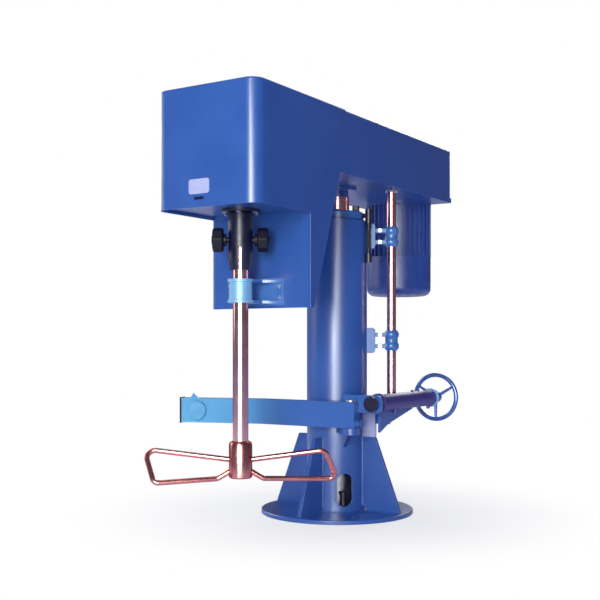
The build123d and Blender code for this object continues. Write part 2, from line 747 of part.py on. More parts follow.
# ---------------------------------------------------------------- steady bearing
STEADY_MIDDLE = (STEADY_FOOT + STEADY_TOP) / 2
STEADY_BOLT_PLACES = [
    (side * (STEADY_PAD_WIDTH / 2 - STEADY_BOLT_EDGE), STEADY_MIDDLE + level * STEADY_BOLT_RISE)
    for side in (-1, 1)
    for level in (-1, 1)
]


def steady_housing():
    """Flanged ring round the shaft."""
    bore = SHAFT_R + STEADY_BUSH_WALL
    lip = STEADY_DIA / 2
    waist = STEADY_WAIST / 2
    return turned(
        (bore, STEADY_FOOT),
        (lip, STEADY_FOOT),
        (lip, STEADY_FOOT + STEADY_LIP),
        (waist, STEADY_FOOT + STEADY_LIP),
        (waist, STEADY_TOP - STEADY_LIP),
        (lip, STEADY_TOP - STEADY_LIP),
        (lip, STEADY_TOP),
        (bore, STEADY_TOP),
        y=SPINDLE_Y,
    )


def steady_bush():
    outer = SHAFT_R + STEADY_BUSH_WALL
    return ring(outer, SHAFT_R + RUN_FIT, STEADY_FOOT, STEADY_TOP, 0, SPINDLE_Y)


def steady_bracket():
    """Two level arm plates on a foot plate, which hold the ring in front of the hanging plate."""
    half = STEADY_PAD_WIDTH / 2
    pad_front = HANG_FRONT - STEADY_PLATE_THICK
    low = STEADY_FOOT - STEADY_PAD_MARGIN
    high = STEADY_TOP + STEADY_PAD_MARGIN
    bracket = block((-half, half), (pad_front, HANG_FRONT), (low, high))
    arm = face(
        (-half + 20, pad_front + 1),
        (half - 20, pad_front + 1),
        (STEADY_ARM_WIDTH / 2, pad_front - 40),
        (STEADY_ARM_WIDTH / 2, SPINDLE_Y),
        (-STEADY_ARM_WIDTH / 2, SPINDLE_Y),
        (-STEADY_ARM_WIDTH / 2, pad_front - 40),
    )
    for z in (STEADY_FOOT, STEADY_TOP - STEADY_PLATE_THICK):
        bracket += Pos(0, 0, z) * extrude(arm, STEADY_PLATE_THICK)
    bracket -= post(STEADY_DIA / 2, 0, COLUMN_TOP, 0, SPINDLE_Y)
    for x, z in STEADY_BOLT_PLACES:
        bracket -= bar_y((BOLT_DIA + BOLT_HOLE_FIT) / 2, pad_front - 1, HANG_FRONT + 1, x, z)
    return bracket


def steady_bolts():
    """Foot bolts, and the three nuts on the ring's left side."""
    foot = Rot(90, 0, 0) * hex_bolt(STEADY_PLATE_THICK + HANG_THICK)
    seat = HANG_FRONT - STEADY_PLATE_THICK
    bolts = [Pos(x, seat, z) * foot for x, z in STEADY_BOLT_PLACES]
    nut = extrude(RegularPolygon(BOLT_ACROSS / 2, 6, major_radius=False), 14)
    for step in (-1, 0, 1):
        place = Pos(0, SPINDLE_Y, STEADY_MIDDLE + STEADY_NUT_PITCH * step) * Rot(0, 0, 180) * Pos(STEADY_WAIST / 2 - 4, 0, 0)
        bolts.append(place * Rot(0, 90, 0) * nut - post(STEADY_WAIST / 2, 0, COLUMN_TOP, 0, SPINDLE_Y))
    return group(bolts)


# ---------------------------------------------------------------- belt drive
def grooved_pulley(diameter, bore, y):
    """V belt pulley: grooved rim, thin web and hub."""
    outer = diameter / 2
    low = BELT_PLANE_Z - PULLEY_FACE / 2
    high = BELT_PLANE_Z + PULLEY_FACE / 2
    pulley = ring(outer, bore, low, high, 0, y)
    bed = outer - BELT_DEPTH - BELT_GROOVE_FIT
    for i in range(BELTS):
        z = BELT_PLANE_Z + BELT_PITCH * (i - (BELTS - 1) / 2)
        wide = BELT_TOP_WIDTH / 2 + BELT_GROOVE_FIT
        narrow = BELT_LOW_WIDTH / 2 + BELT_GROOVE_FIT
        groove = [(outer + 1, z - wide), (bed, z - narrow), (bed, z + narrow), (outer + 1, z + wide)]
        pulley -= turned(*groove, y=y)
    return pulley


def spindle_pulley():
    pulley = grooved_pulley(SPINDLE_PULLEY_DIA, SPINDLE_R, SPINDLE_Y)
    rim = SPINDLE_PULLEY_DIA / 2 - PULLEY_RIM
    hub = SPINDLE_R + 26
    web_low = BELT_PLANE_Z - PULLEY_WEB / 2
    web_high = BELT_PLANE_Z + PULLEY_WEB / 2
    pulley -= ring(rim, hub, BELT_PLANE_Z - PULLEY_FACE, web_low, 0, SPINDLE_Y)
    pulley -= ring(rim, hub, web_high, BELT_PLANE_Z + PULLEY_FACE, 0, SPINDLE_Y)
    for x, y in polar(5, (rim + hub) / 2, 0, 0, SPINDLE_Y):
        pulley -= post((rim - hub) / 2 - 18, web_low - 1, web_high + 1, x, y)
    return pulley


def motor_pulley():
    return grooved_pulley(MOTOR_PULLEY_DIA, MOTOR_SHAFT_DIA / 2, MOTOR_Y)


def belt_outline(spindle_r, motor_r):
    """Outline of a belt laid round both pulleys."""
    lean = asin((spindle_r - motor_r) / (MOTOR_Y - SPINDLE_Y))
    side = (cos(lean), sin(lean))
    corners = [
        (spindle_r * side[0], SPINDLE_Y + spindle_r * side[1]),
        (motor_r * side[0], MOTOR_Y + motor_r * side[1]),
        (-motor_r * side[0], MOTOR_Y + motor_r * side[1]),
        (-spindle_r * side[0], SPINDLE_Y + spindle_r * side[1]),
    ]
    round_motor = ThreePointArc(corners[1], (0, MOTOR_Y + motor_r), corners[2])
    round_spindle = ThreePointArc(corners[3], (0, SPINDLE_Y - spindle_r), corners[0])
    return [Line(corners[0], corners[1]), round_motor, Line(corners[2], corners[3]), round_spindle]


def v_belts():
    """Three V belts, wedge shaped in section, lying in the pulley grooves."""
    spindle_r = SPINDLE_PULLEY_DIA / 2
    motor_r = MOTOR_PULLEY_DIA / 2
    outer = make_face(Wire(belt_outline(spindle_r, motor_r)))
    inner = make_face(Wire(belt_outline(spindle_r - BELT_DEPTH, motor_r - BELT_DEPTH)))
    wide = BELT_TOP_WIDTH / 2
    narrow = BELT_LOW_WIDTH / 2
    belt = extrude(Pos(0, 0, -wide) * outer, 2 * wide)
    belt -= extrude(Pos(0, 0, -narrow) * inner, 2 * narrow)
    for side in (-1, 1):
        belt -= loft([Pos(0, 0, side * narrow) * inner, Pos(0, 0, side * wide) * outer])
    levels = [BELT_PLANE_Z + BELT_PITCH * (i - (BELTS - 1) / 2) for i in range(BELTS)]
    return group(Pos(0, 0, z) * belt for z in levels)


# ---------------------------------------------------------------- motor
def motor_body():
    """Finned stator housing with its flange under the beam."""
    core = Circle(MOTOR_CORE_DIA / 2)
    fin_mid = (MOTOR_DIA + MOTOR_CORE_DIA) / 4 - 3
    fin_long = (MOTOR_DIA - MOTOR_CORE_DIA) / 2 + 6
    for i in range(MOTOR_FINS):
        core += Rot(0, 0, 360 * i / MOTOR_FINS) * Pos(fin_mid, 0) * Rectangle(fin_long, MOTOR_FIN_THICK)
    flange_low = BEAM_UNDER - MOTOR_FLANGE_THICK
    body = Pos(0, MOTOR_Y, MOTOR_FOOT) * extrude(core, flange_low - MOTOR_FOOT)
    body += post(MOTOR_DIA / 2, flange_low, BEAM_UNDER, 0, MOTOR_Y)
    body += post(MOTOR_SPIGOT_DIA / 2 - RUN_FIT, BEAM_UNDER - 1, BEAM_TOP - 5, 0, MOTOR_Y)
    low = MOTOR_FOOT + MOTOR_BORE_END
    body -= post(ROTOR_DIA / 2 + ROTOR_GAP, low, low + ROTOR_LENGTH + 2 * ROTOR_GAP, 0, MOTOR_Y)
    body -= post(MOTOR_SHAFT_DIA / 2 + RUN_FIT, MOTOR_FOOT - 1, BEAM_TOP, 0, MOTOR_Y)
    for hole in bolt_holes(MOTOR_BOLT_PLACES, flange_low - 1, BEAM_UNDER + 1):
        body -= hole
    return body


def motor_fan_cover():
    """Smooth cover over the fan, open to the fins above, with air slots in its end."""
    outer = MOTOR_DIA / 2 - 2
    cover = post(outer, FAN_COVER_FOOT, MOTOR_FOOT, 0, MOTOR_Y)
    cover = fillet(cover.edges().group_by(Axis.Z)[0], FAN_COVER_EDGE)
    for z in (FAN_COVER_FOOT + 42, FAN_COVER_FOOT + 58):
        cover -= ring(outer + 1, outer - 1.5, z, z + 4, 0, MOTOR_Y)
    inner = outer - FAN_COVER_WALL
    core = post(inner, FAN_COVER_FOOT + FAN_COVER_WALL, MOTOR_FOOT + 1, 0, MOTOR_Y)
    core = fillet(core.edges().group_by(Axis.Z)[0], FAN_COVER_EDGE - FAN_COVER_WALL)
    cover -= core
    slot = extrude(SlotOverall(GRILLE_SLOT_LENGTH, GRILLE_SLOT_WIDTH), 3 * FAN_COVER_WALL)
    for i in range(GRILLE_SLOTS):
        turn = Rot(0, 0, 360 * i / GRILLE_SLOTS)
        cover -= Pos(0, MOTOR_Y, FAN_COVER_FOOT - FAN_COVER_WALL) * turn * Pos(GRILLE_SLOT_REACH, 0, 0) * slot
    return cover


def motor_rotor():
    """Shaft with the rotor pack and the cooling fan on it."""
    low = MOTOR_FOOT + MOTOR_BORE_END + ROTOR_GAP
    shaft_r = MOTOR_SHAFT_DIA / 2
    top = BELT_PLANE_Z + PULLEY_FACE / 2 + 8
    rotor = post(shaft_r, FAN_Z - 10, top, 0, MOTOR_Y)
    rotor += post(ROTOR_DIA / 2, low, low + ROTOR_LENGTH, 0, MOTOR_Y)
    rotor += post(FAN_DIA / 2, FAN_Z, FAN_Z + 4, 0, MOTOR_Y)
    blade = block((shaft_r - 3, FAN_DIA / 2), (-2, 2), (FAN_Z, FAN_Z + FAN_HEIGHT))
    for i in range(FAN_BLADES):
        rotor += Pos(0, MOTOR_Y, 0) * Rot(0, 0, 360 * i / FAN_BLADES) * blade
    return rotor


def motor_terminal_box():
    """Terminal box on the motor's hidden left side, with a blank cable gland."""
    depth, width, height = TERMINAL_BOX
    far = -MOTOR_DIA / 2 - depth + 12
    middle = (MOTOR_FOOT + BEAM_UNDER) / 2
    box = block((far, -MOTOR_CORE_DIA / 2 + 20), (MOTOR_Y - width / 2, MOTOR_Y + width / 2),
                (middle - height / 2, middle + height / 2))
    box = fillet(box.edges().filter_by(Axis.X), 10)
    box += post(13, middle - height / 2 - 22, middle - height / 2 + 1, far + depth / 2, MOTOR_Y)
    return box - post(MOTOR_DIA / 2 + SEAT_GAP, 0, BEAM_UNDER, 0, MOTOR_Y)


# ---------------------------------------------------------------- guide rod
def guide_rod():
    rod = post(ROD_DIA / 2, ROD_FOOT, BEAM_UNDER - ROD_NUT_HEIGHT, ROD_X, ROD_Y)
    rod = chamfer(rod.edges().group_by(Axis.Z)[0], 2)
    return rod + post(ROD_STUD_DIA / 2, BEAM_UNDER - ROD_NUT_HEIGHT - 1, BEAM_TOP + 20, ROD_X, ROD_Y)


def guide_rod_nut():
    """Domed lock nut between the rod and the beam, and the stud's nut above the beam."""
    low = BEAM_UNDER - ROD_NUT_HEIGHT
    dome = Sphere(ROD_NUT_ACROSS / 2 + 3)
    nut = extrude(RegularPolygon(ROD_NUT_ACROSS / 2, 6), ROD_NUT_HEIGHT)
    nut = Pos(ROD_X, ROD_Y, low) * nut & Pos(ROD_X, ROD_Y, BEAM_UNDER) * dome
    upper = Pos(ROD_X, ROD_Y, BEAM_TOP) * extrude(RegularPolygon(ROD_STUD_DIA, 6), 16)
    stud = post(ROD_STUD_DIA / 2 + RUN_FIT, low - 1, BEAM_TOP + 30, ROD_X, ROD_Y)
    return group([nut - stud, upper - stud])


def rod_bracket(ring_foot):
    """Column pad, two thin arms and a flared ring that the guide rod slides in."""
    middle = ring_foot + RING_HEIGHT / 2
    half = PAD_HEIGHT / 2
    side = PAD_WIDTH / 2
    pad = block((COLUMN_R - 15, COLUMN_R + PAD_DEPTH), (-side, side), (middle - half, middle + half))
    pad = chamfer(pad.faces().sort_by(Axis.X)[-1].edges().filter_by(Axis.Y), 10)
    waist = RING_DIA / 2 - RING_LIP
    lip = RING_DIA / 2
    high = ring_foot + RING_HEIGHT
    clamp = turned(
        (0, ring_foot),
        (waist - 4, ring_foot),
        (lip, ring_foot + 14),
        (lip, ring_foot + 30),
        (waist, ring_foot + 38),
        (waist, high - 38),
        (lip, high - 30),
        (lip, high - 14),
        (waist - 4, high),
        (0, high),
        x=ROD_R,
    )
    bracket = pad + clamp
    for z in (ring_foot + 12, high - 12 - BRACKET_ARM_THICK):
        arm = block((COLUMN_R + PAD_DEPTH - 2, ROD_R), (-BRACKET_ARM_WIDTH / 2, BRACKET_ARM_WIDTH / 2),
                    (z, z + BRACKET_ARM_THICK))
        bracket += arm
    bracket -= post(COLUMN_R, 0, COLUMN_TOP)
    bracket -= post(ROD_DIA / 2 + RUN_FIT, ring_foot - 1, high + 1, ROD_R, 0)
    return Rot(0, 0, ROD_ANGLE) * bracket


def rod_bracket_bolts():
    """Clamp bolt heads on the front of each ring's two arms."""
    bolts = []
    head = extrude(RegularPolygon(BOLT_ACROSS / 2, 6, major_radius=False), 10)
    for foot in (LOWER_RING_FOOT, UPPER_RING_FOOT):
        for z in (foot + 12, foot + RING_HEIGHT - 12 - BRACKET_ARM_THICK):
            centre = z + BRACKET_ARM_THICK / 2
            reach = (COLUMN_R + PAD_DEPTH + ROD_R - RING_DIA / 2) / 2
            place = Rot(0, 0, ROD_ANGLE) * Pos(reach, -BRACKET_ARM_WIDTH / 2, centre)
            bolts.append(place * Rot(90, 0, 0) * head)
    return group(bolts)


# ---------------------------------------------------------------- clamp screw unit
def clamp_lug():
    """Pale plate that stands on the right gusset and carries the screw unit's tie."""
    lug = block((COLUMN_R - 5, GUSSET_HEAD_R), (-LUG_THICK / 2, LUG_THICK / 2), (GUSSET_TOP, LUG_TOP))
    lug -= post(COLUMN_R, 0, COLUMN_TOP)
    return chamfer(lug.faces().sort_by(Axis.X)[-1].edges().filter_by(Axis.Y), 4)


def screw_support_plate():
    """Web under the screw tube, with the tie that joins it to the lug."""
    outline = [
        (SUPPORT_FRONT, SUPPORT_FOOT),
        (SUPPORT_KNEE, SUPPORT_FOOT + SUPPORT_KNEE_RISE),
        (SUPPORT_HOLLOW, SUPPORT_FOOT + SUPPORT_HOLLOW_RISE),
        (SUPPORT_REAR, SCREW_Z - TUBE_DIA / 2 - 4),
        (SUPPORT_REAR, SCREW_Z),
        (SUPPORT_FRONT, SCREW_Z),
    ]
    web = plate_yz(outline, SUPPORT_X - SUPPORT_THICK / 2, SUPPORT_X + SUPPORT_THICK / 2)
    tie = block((GUSSET_HEAD_R, SUPPORT_X), (-LUG_THICK / 2, LUG_THICK / 2), (TIE_FOOT, LUG_TOP - 8))
    plate = web + tie - bar_y(TUBE_DIA / 2, TUBE_FRONT - 50, TUBE_REAR + 50)
    return plate - bar_y(TUBE_DIA / 2 + TUBE_COLLAR_PROUD, TUBE_FRONT, TUBE_FRONT + TUBE_COLLAR)


def screw_tube():
    """Tube that guides the clamp screw, with a front collar, two feet and two grease bosses."""
    tube = bar_y(TUBE_DIA / 2, TUBE_FRONT, TUBE_REAR)
    tube += bar_y(TUBE_DIA / 2 + TUBE_COLLAR_PROUD, TUBE_FRONT, TUBE_FRONT + TUBE_COLLAR)
    for y in (TUBE_FRONT + TUBE_FOOT_FRONT, TUBE_REAR - TUBE_FOOT_REAR):
        tube += post(9, SCREW_Z - TUBE_DIA / 2 - 12, SCREW_Z, SCREW_X + 16, y)
    for y in (TUBE_REAR - GREASE_NEAR, TUBE_REAR - GREASE_NEAR - GREASE_PITCH):
        tube += post(7, SCREW_Z, SCREW_Z + TUBE_DIA / 2 + 8, SCREW_X, y)
    return tube - bar_y(TUBE_DIA / 2 - TUBE_WALL, TUBE_FRONT - 1, TUBE_REAR + 1)


def screw_tube_flange():
    end = TUBE_REAR + FLANGE_THICK
    flange = bar_y(FLANGE_DIA / 2, TUBE_REAR, end)
    flange = chamfer(flange.edges().group_by(Axis.Y)[-1], 2)
    return flange - bar_y(SCREW_DIA / 2 + RUN_FIT, TUBE_REAR - 1, end + 1)


def screw_bushes():
    """Threaded bushes at the two ends of the tube."""
    outer = TUBE_DIA / 2 - TUBE_WALL
    inner = SCREW_DIA / 2 + RUN_FIT
    bushes = []
    for start in (TUBE_FRONT, TUBE_REAR - BUSH_LENGTH):
        bush = bar_y(outer, start, start + BUSH_LENGTH)
        bushes.append(bush - bar_y(inner, start - 1, start + BUSH_LENGTH + 1))
    return group(bushes)


def nose_nut():
    """Round nut in front of the arm's tail, domed where it pulls on the tail."""
    seat = ARM_BACK - NOSE_GAP
    centre = seat - NOSE_DOME_R
    body = bar_y(NOSE_DIA / 2, seat - NOSE_LENGTH, seat) & Pos(SCREW_X, centre, SCREW_Z) * Sphere(NOSE_DOME_R)
    front = bar_y(NOSE_DIA / 2, seat - NOSE_LENGTH, seat - NOSE_LENGTH / 2)
    front = chamfer(front.edges().group_by(Axis.Y)[0], 5)
    body += front
    return body - bar_y(SCREW_DIA / 2 + RUN_FIT, seat - NOSE_LENGTH + 8, seat + 5)


def clamp_screw():
    start = ARM_BACK - NOSE_GAP - NOSE_LENGTH + 8 + SEAT_GAP
    screw = bar_y(SCREW_DIA / 2, start, WHEEL_HUB_END + 12)
    return chamfer(screw.edges().group_by(Axis.Y)[-1], 2)


def handwheel():
    """Three-spoked wheel with a long hub."""
    rim_r = WHEEL_RIM_DIA / 2
    major = WHEEL_DIA / 2 - rim_r
    rim = Pos(SCREW_X, WHEEL_Y, SCREW_Z) * Rot(90, 0, 0) * Torus(major, rim_r)
    hub = bar_y(WHEEL_HUB_DIA / 2, WHEEL_HUB_START, WHEEL_HUB_END)
    hub = chamfer(hub.edges().group_by(Axis.Y)[-1], 4)
    wheel = rim + hub
    for angle in WHEEL_SPOKES:
        spoke = Pos(0, 0, 4) * Cylinder(SPOKE_DIA / 2, major - 4, align=BOTTOM)
        wheel += Pos(SCREW_X, WHEEL_Y, SCREW_Z) * Rot(0, 90 - angle, 0) * spoke
    return wheel - bar_y(SCREW_DIA / 2, WHEEL_HUB_START - 5, WHEEL_HUB_END + 5)


# ---------------------------------------------------------------- clamp arm
def arm_plan(width, start_x, outer_length):
    """Plan outline of the kinked arm for a given width."""
    turn = radians(ARM_KINK_ANGLE)
    kink = Vector(ARM_KINK_X, PIVOT_Y)
    along = Vector(-cos(turn), -sin(turn))
    outer_side = Vector(-sin(turn), cos(turn))
    mitre = (Vector(0, 1) + outer_side) * (width / 2 / (1 + cos(turn)))
    tip = kink + along * outer_length
    half = width / 2
    return face(
        (start_x, PIVOT_Y + half),
        kink + mitre,
        tip + outer_side * half,
        tip - outer_side * half,
        kink - mitre,
        (start_x, PIVOT_Y - half),
    )


def arm_frame(from_tip):
    """Place on the outer arm's axis, with X along the arm to its tip and Y to the rear."""
    turn = radians(ARM_KINK_ANGLE)
    reach = ARM_OUTER - from_tip
    x = ARM_KINK_X - reach * cos(turn)
    y = PIVOT_Y - reach * sin(turn)
    return Pos(x, y, 0) * Rot(0, 0, ARM_KINK_ANGLE)


def clamp_arm():
    """Hollow kinked beam with a solid pivot end and the tail plate that the screw pulls."""
    high = ARM_TOP - ARM_FOOT
    beam = Pos(0, 0, ARM_FOOT) * extrude(arm_plan(ARM_WIDTH, ARM_END_X, ARM_OUTER), high)
    inner = arm_plan(ARM_WIDTH - 2 * ARM_WALL, ARM_END_X - ARM_SOLID, ARM_OUTER + 5)
    beam -= Pos(0, 0, ARM_FOOT + ARM_WALL) * extrude(inner, high - 2 * ARM_WALL)
    tail_low = SCREW_Z - NOSE_DIA / 2 - 8
    tail_high = SCREW_Z + NOSE_DIA / 2 + 4
    tail = block((TAIL_START_X, TAIL_END_X), (ARM_BACK, ARM_BACK + TAIL_THICK), (tail_low, tail_high))
    tail = fillet(tail.faces().sort_by(Axis.X)[-1].edges().filter_by(Axis.Y), 26)
    slot = Plane.XZ * SlotOverall(TAIL_SLOT, TAIL_HOLE)
    slot = Pos(SCREW_X + TAIL_SLOT_SHIFT, ARM_BACK + TAIL_THICK + 1, SCREW_Z) * extrude(slot, TAIL_THICK + 2)
    arm = beam + (tail - slot)
    waist = [(0, 0), (20, 0), (7, 13), (7, 17), (20, 30), (0, 30)]
    spool = Pos(ARM_END_X, PIVOT_Y, ARM_FOOT + 23) * Rot(0, 90, 0) * turned(*waist)
    arm += spool
    fin = [(0, ARM_TOP), (FIN_LENGTH, ARM_TOP), (FIN_LENGTH * 0.4, ARM_TOP + FIN_HEIGHT)]
    arm += arm_frame(FIN_FROM_TIP) * Pos(0, 5, 0) * extrude(Plane.XZ * face(*fin), 10)
    return arm - post(PIVOT_DIA / 2 + RUN_FIT, ARM_FOOT - 1, ARM_TOP + 1, PIVOT_X, PIVOT_Y)


def arm_end_plate():
    plate = block((-ARM_END_PLATE, 0), (-ARM_WIDTH / 2 - 4, ARM_WIDTH / 2 + 4), (ARM_FOOT - 3, ARM_TOP + 3))
    return arm_frame(0) * plate


def clamp_pad():
    """Round rubber-faced pad on a stud at the front of the arm's tip."""
    disc = Cylinder(PAD_DISC_DIA / 2, PAD_DISC_THICK, align=BOTTOM)
    disc = chamfer(disc.edges().group_by(Axis.Z)[-1], 3)
    middle = (ARM_FOOT + ARM_TOP) / 2
    return arm_frame(PAD_FROM_TIP) * Pos(0, -ARM_WIDTH / 2, middle) * Rot(90, 0, 0) * disc


def arm_pivot_bracket():
    """Thick ear from the column that carries the arm's pivot pin."""
    reach = hypot(PIVOT_X, PIVOT_Y)
    high = ARM_FOOT - SEAT_GAP
    low = high - EAR_THICK
    ear = block((COLUMN_R - 25, reach), (-EAR_WIDTH / 2, EAR_WIDTH / 2), (low, high))
    ear += post(EAR_WIDTH / 2, low, high, reach, 0)
    rib = [(COLUMN_R - 25, low - 70), (COLUMN_R, low - 70), (reach - 20, low + 1), (COLUMN_R - 25, low + 1)]
    ear += Pos(0, 7, 0) * extrude(Plane.XZ * face(*rib), 14)
    ear -= post(COLUMN_R, 0, COLUMN_TOP)
    ear -= post(PIVOT_DIA / 2, low - 1, high + 1, reach, 0)
    return Rot(0, 0, degrees(atan2(PIVOT_Y, PIVOT_X))) * ear


def arm_pivot_pin():
    low = ARM_FOOT - SEAT_GAP - EAR_THICK
    pin = post(PIVOT_DIA / 2, low, ARM_TOP + SEAT_GAP + 1, PIVOT_X, PIVOT_Y)
    head = post(PIVOT_HEAD_DIA / 2, ARM_TOP + SEAT_GAP, ARM_TOP + SEAT_GAP + PIVOT_HEAD, PIVOT_X, PIVOT_Y)
    return pin + chamfer(head.edges().group_by(Axis.Z)[-1], 2)


# ---------------------------------------------------------------- nodes
NODES = {
    "base_plate": base_plate,
    "base_gussets": base_gussets,
    "column_tube": column_tube,
    "service_slot_rim": service_slot_rim,
    "gland_collar": gland_collar,
    "gland_bush": gland_bush,
    "gland_screws": gland_screws,
    "cylinder_barrel": cylinder_barrel,
    "cylinder_end_cap": cylinder_end_cap,
    "cylinder_port_elbow": cylinder_port_elbow,
    "hose_fittings": hose_fittings,
    "hydraulic_hose": hydraulic_hose,
    "lower_rod_bracket": lambda: rod_bracket(LOWER_RING_FOOT),
    "upper_rod_bracket": lambda: rod_bracket(UPPER_RING_FOOT),
    "rod_bracket_bolts": rod_bracket_bolts,
    "clamp_lug": clamp_lug,
    "screw_support_plate": screw_support_plate,
    "screw_tube": screw_tube,
    "screw_tube_flange": screw_tube_flange,
    "screw_bushes": screw_bushes,
    "arm_pivot_bracket": arm_pivot_bracket,
    "arm_pivot_pin": arm_pivot_pin,
    "ram_tube": ram_tube,
    "ram_piston": ram_piston,
    "ram_neck": ram_neck,
    "housing_bolts": housing_bolts,
    "beam_plate": beam_plate,
    "front_housing": front_housing,
    "front_floor": front_floor,
    "hanging_plate": hanging_plate,
    "belt_cover": belt_cover,
    "bearing_housing": bearing_housing,
    "spindle_bearings": spindle_bearings,
    "v_belts": v_belts,
    "motor_body": motor_body,
    "motor_fan_cover": motor_fan_cover,
    "motor_terminal_box": motor_terminal_box,
    "guide_rod": guide_rod,
    "guide_rod_nut": guide_rod_nut,
    "steady_housing": steady_housing,
    "steady_bush": steady_bush,
    "steady_bracket": steady_bracket,
    "steady_bolts": steady_bolts,
    "drive_spindle": drive_spindle,
    "spindle_pulley": spindle_pulley,
    "coupling_sleeve": coupling_sleeve,
    "agitator_shaft": agitator_shaft,
    "impeller_hub": impeller_hub,
    "impeller_loop_right": lambda: impeller_loop(BLADE_ANGLE, SHORT_REACH, LONG_REACH),
    "impeller_loop_left": lambda: impeller_loop(BLADE_ANGLE + 180, LONG_REACH, SHORT_REACH),
    "sleeve_knob_right": lambda: sleeve_knob(BLADE_ANGLE),
    "sleeve_knob_left": lambda: sleeve_knob(BLADE_ANGLE + 180),
    "motor_rotor": motor_rotor,
    "motor_pulley": motor_pulley,
    "nose_nut": nose_nut,
    "clamp_screw": clamp_screw,
    "handwheel": handwheel,
    "clamp_arm": clamp_arm,
    "arm_end_plate": arm_end_plate,
    "clamp_pad": clamp_pad,
}

os.makedirs("parts", exist_ok=True)
for name, make in NODES.items():
    export_step(make(), f"parts/{name}.step")
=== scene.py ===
"""Finished look of the tank agitator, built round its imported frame.

Metres, +Z up, in the frame's own axes: -Y is the front, where the agitator shaft hangs, and +X is
the side with the guide rod and the handwheel.
"""

import json
import logging
from collections.abc import Sequence
from dataclasses import dataclass
from enum import Enum
from math import cos, pi, radians, sin
from typing import ClassVar

import bmesh
import bpy
from mathutils import Matrix, Vector


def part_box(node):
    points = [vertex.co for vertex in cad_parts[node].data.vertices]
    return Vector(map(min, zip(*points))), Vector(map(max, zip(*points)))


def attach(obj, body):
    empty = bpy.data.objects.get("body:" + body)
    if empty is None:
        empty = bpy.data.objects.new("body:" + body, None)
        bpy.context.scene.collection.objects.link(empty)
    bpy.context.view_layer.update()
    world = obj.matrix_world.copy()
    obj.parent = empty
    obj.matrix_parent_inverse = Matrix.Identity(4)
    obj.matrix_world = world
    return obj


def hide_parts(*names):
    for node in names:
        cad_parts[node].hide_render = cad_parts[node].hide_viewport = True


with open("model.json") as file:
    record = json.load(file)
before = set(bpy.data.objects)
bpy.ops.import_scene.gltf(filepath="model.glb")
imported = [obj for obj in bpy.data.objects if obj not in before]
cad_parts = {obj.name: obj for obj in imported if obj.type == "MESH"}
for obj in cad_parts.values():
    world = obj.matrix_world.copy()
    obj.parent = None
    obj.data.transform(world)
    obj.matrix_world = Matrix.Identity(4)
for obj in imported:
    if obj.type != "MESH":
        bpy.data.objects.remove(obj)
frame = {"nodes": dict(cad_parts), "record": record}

Pair = tuple[float, float]
Triple = tuple[float, float, float]
Form = bmesh.types.BMesh
Tree = bpy.types.NodeTree
Socket = bpy.types.NodeSocket

LOG = logging.getLogger("agitator")
MILLIMETRE = 0.001
UP = Vector((0, 0, 1))
REARWARD = Vector((0, 1, 0))
MERGE_DISTANCE = 0.02 * MILLIMETRE
POLE_DISTANCE = 0.005 * MILLIMETRE
FLAT_ANGLE = 0.6
CREASE_ANGLE = 38.0
ALIGNED = 0.9
WELD_SIDES = 8
WELD_WAIST = 0.86
WELD_PITCH = 0.9
FEWEST_SCALES = 4


# ---------------------------------------------------------------- surfaces
def spread_over(
    tree: Tree, value: Socket, source: Pair, target: Pair = (0.0, 1.0), smooth: bool = False
) -> Socket:
    """Carry a value from one range to another.

    Args:
        tree: The nodes that the new one joins.
        value: The value that is carried over.
        source: The range that it has.
        target: The range that it gets.
        smooth: Whether it eases in and out at the range's ends.

    Returns:
        The value in its new range.
    """
    span = tree.nodes.new("ShaderNodeMapRange")
    if smooth:
        span.interpolation_type = "SMOOTHSTEP"
    span.inputs["From Min"].default_value = source[0]
    span.inputs["From Max"].default_value = source[1]
    span.inputs["To Min"].default_value = target[0]
    span.inputs["To Max"].default_value = target[1]
    tree.links.new(value, span.inputs["Value"])
    return span.outputs["Result"]


def blended(tree: Tree, share: Socket, first: Triple | Socket, second: Triple) -> Socket:
    """Blend two colours.

    Args:
        tree: The nodes that the new one joins.
        share: Zero for the first colour, one for the second.
        first: The first colour, as a value or a socket.
        second: The second colour.

    Returns:
        The blended colour.
    """
    mix = tree.nodes.new("ShaderNodeMix")
    mix.data_type = "RGBA"
    tree.links.new(share, mix.inputs["Factor"])
    if isinstance(first, Socket):
        tree.links.new(first, mix.inputs["A"])
    else:
        mix.inputs["A"].default_value = (*first, 1.0)
    mix.inputs["B"].default_value = (*second, 1.0)
    return mix.outputs["Result"]


class Kind(Enum):
    """The named sorts of surface that the object has."""

    ENAMEL = "enamel"
    METAL = "metal"
    MOULDED = "moulded"
    RUBBER = "rubber"
    CAST = "cast"


METALLIC: dict[Kind, float] = {Kind.METAL: 1.0, Kind.CAST: 0.55}


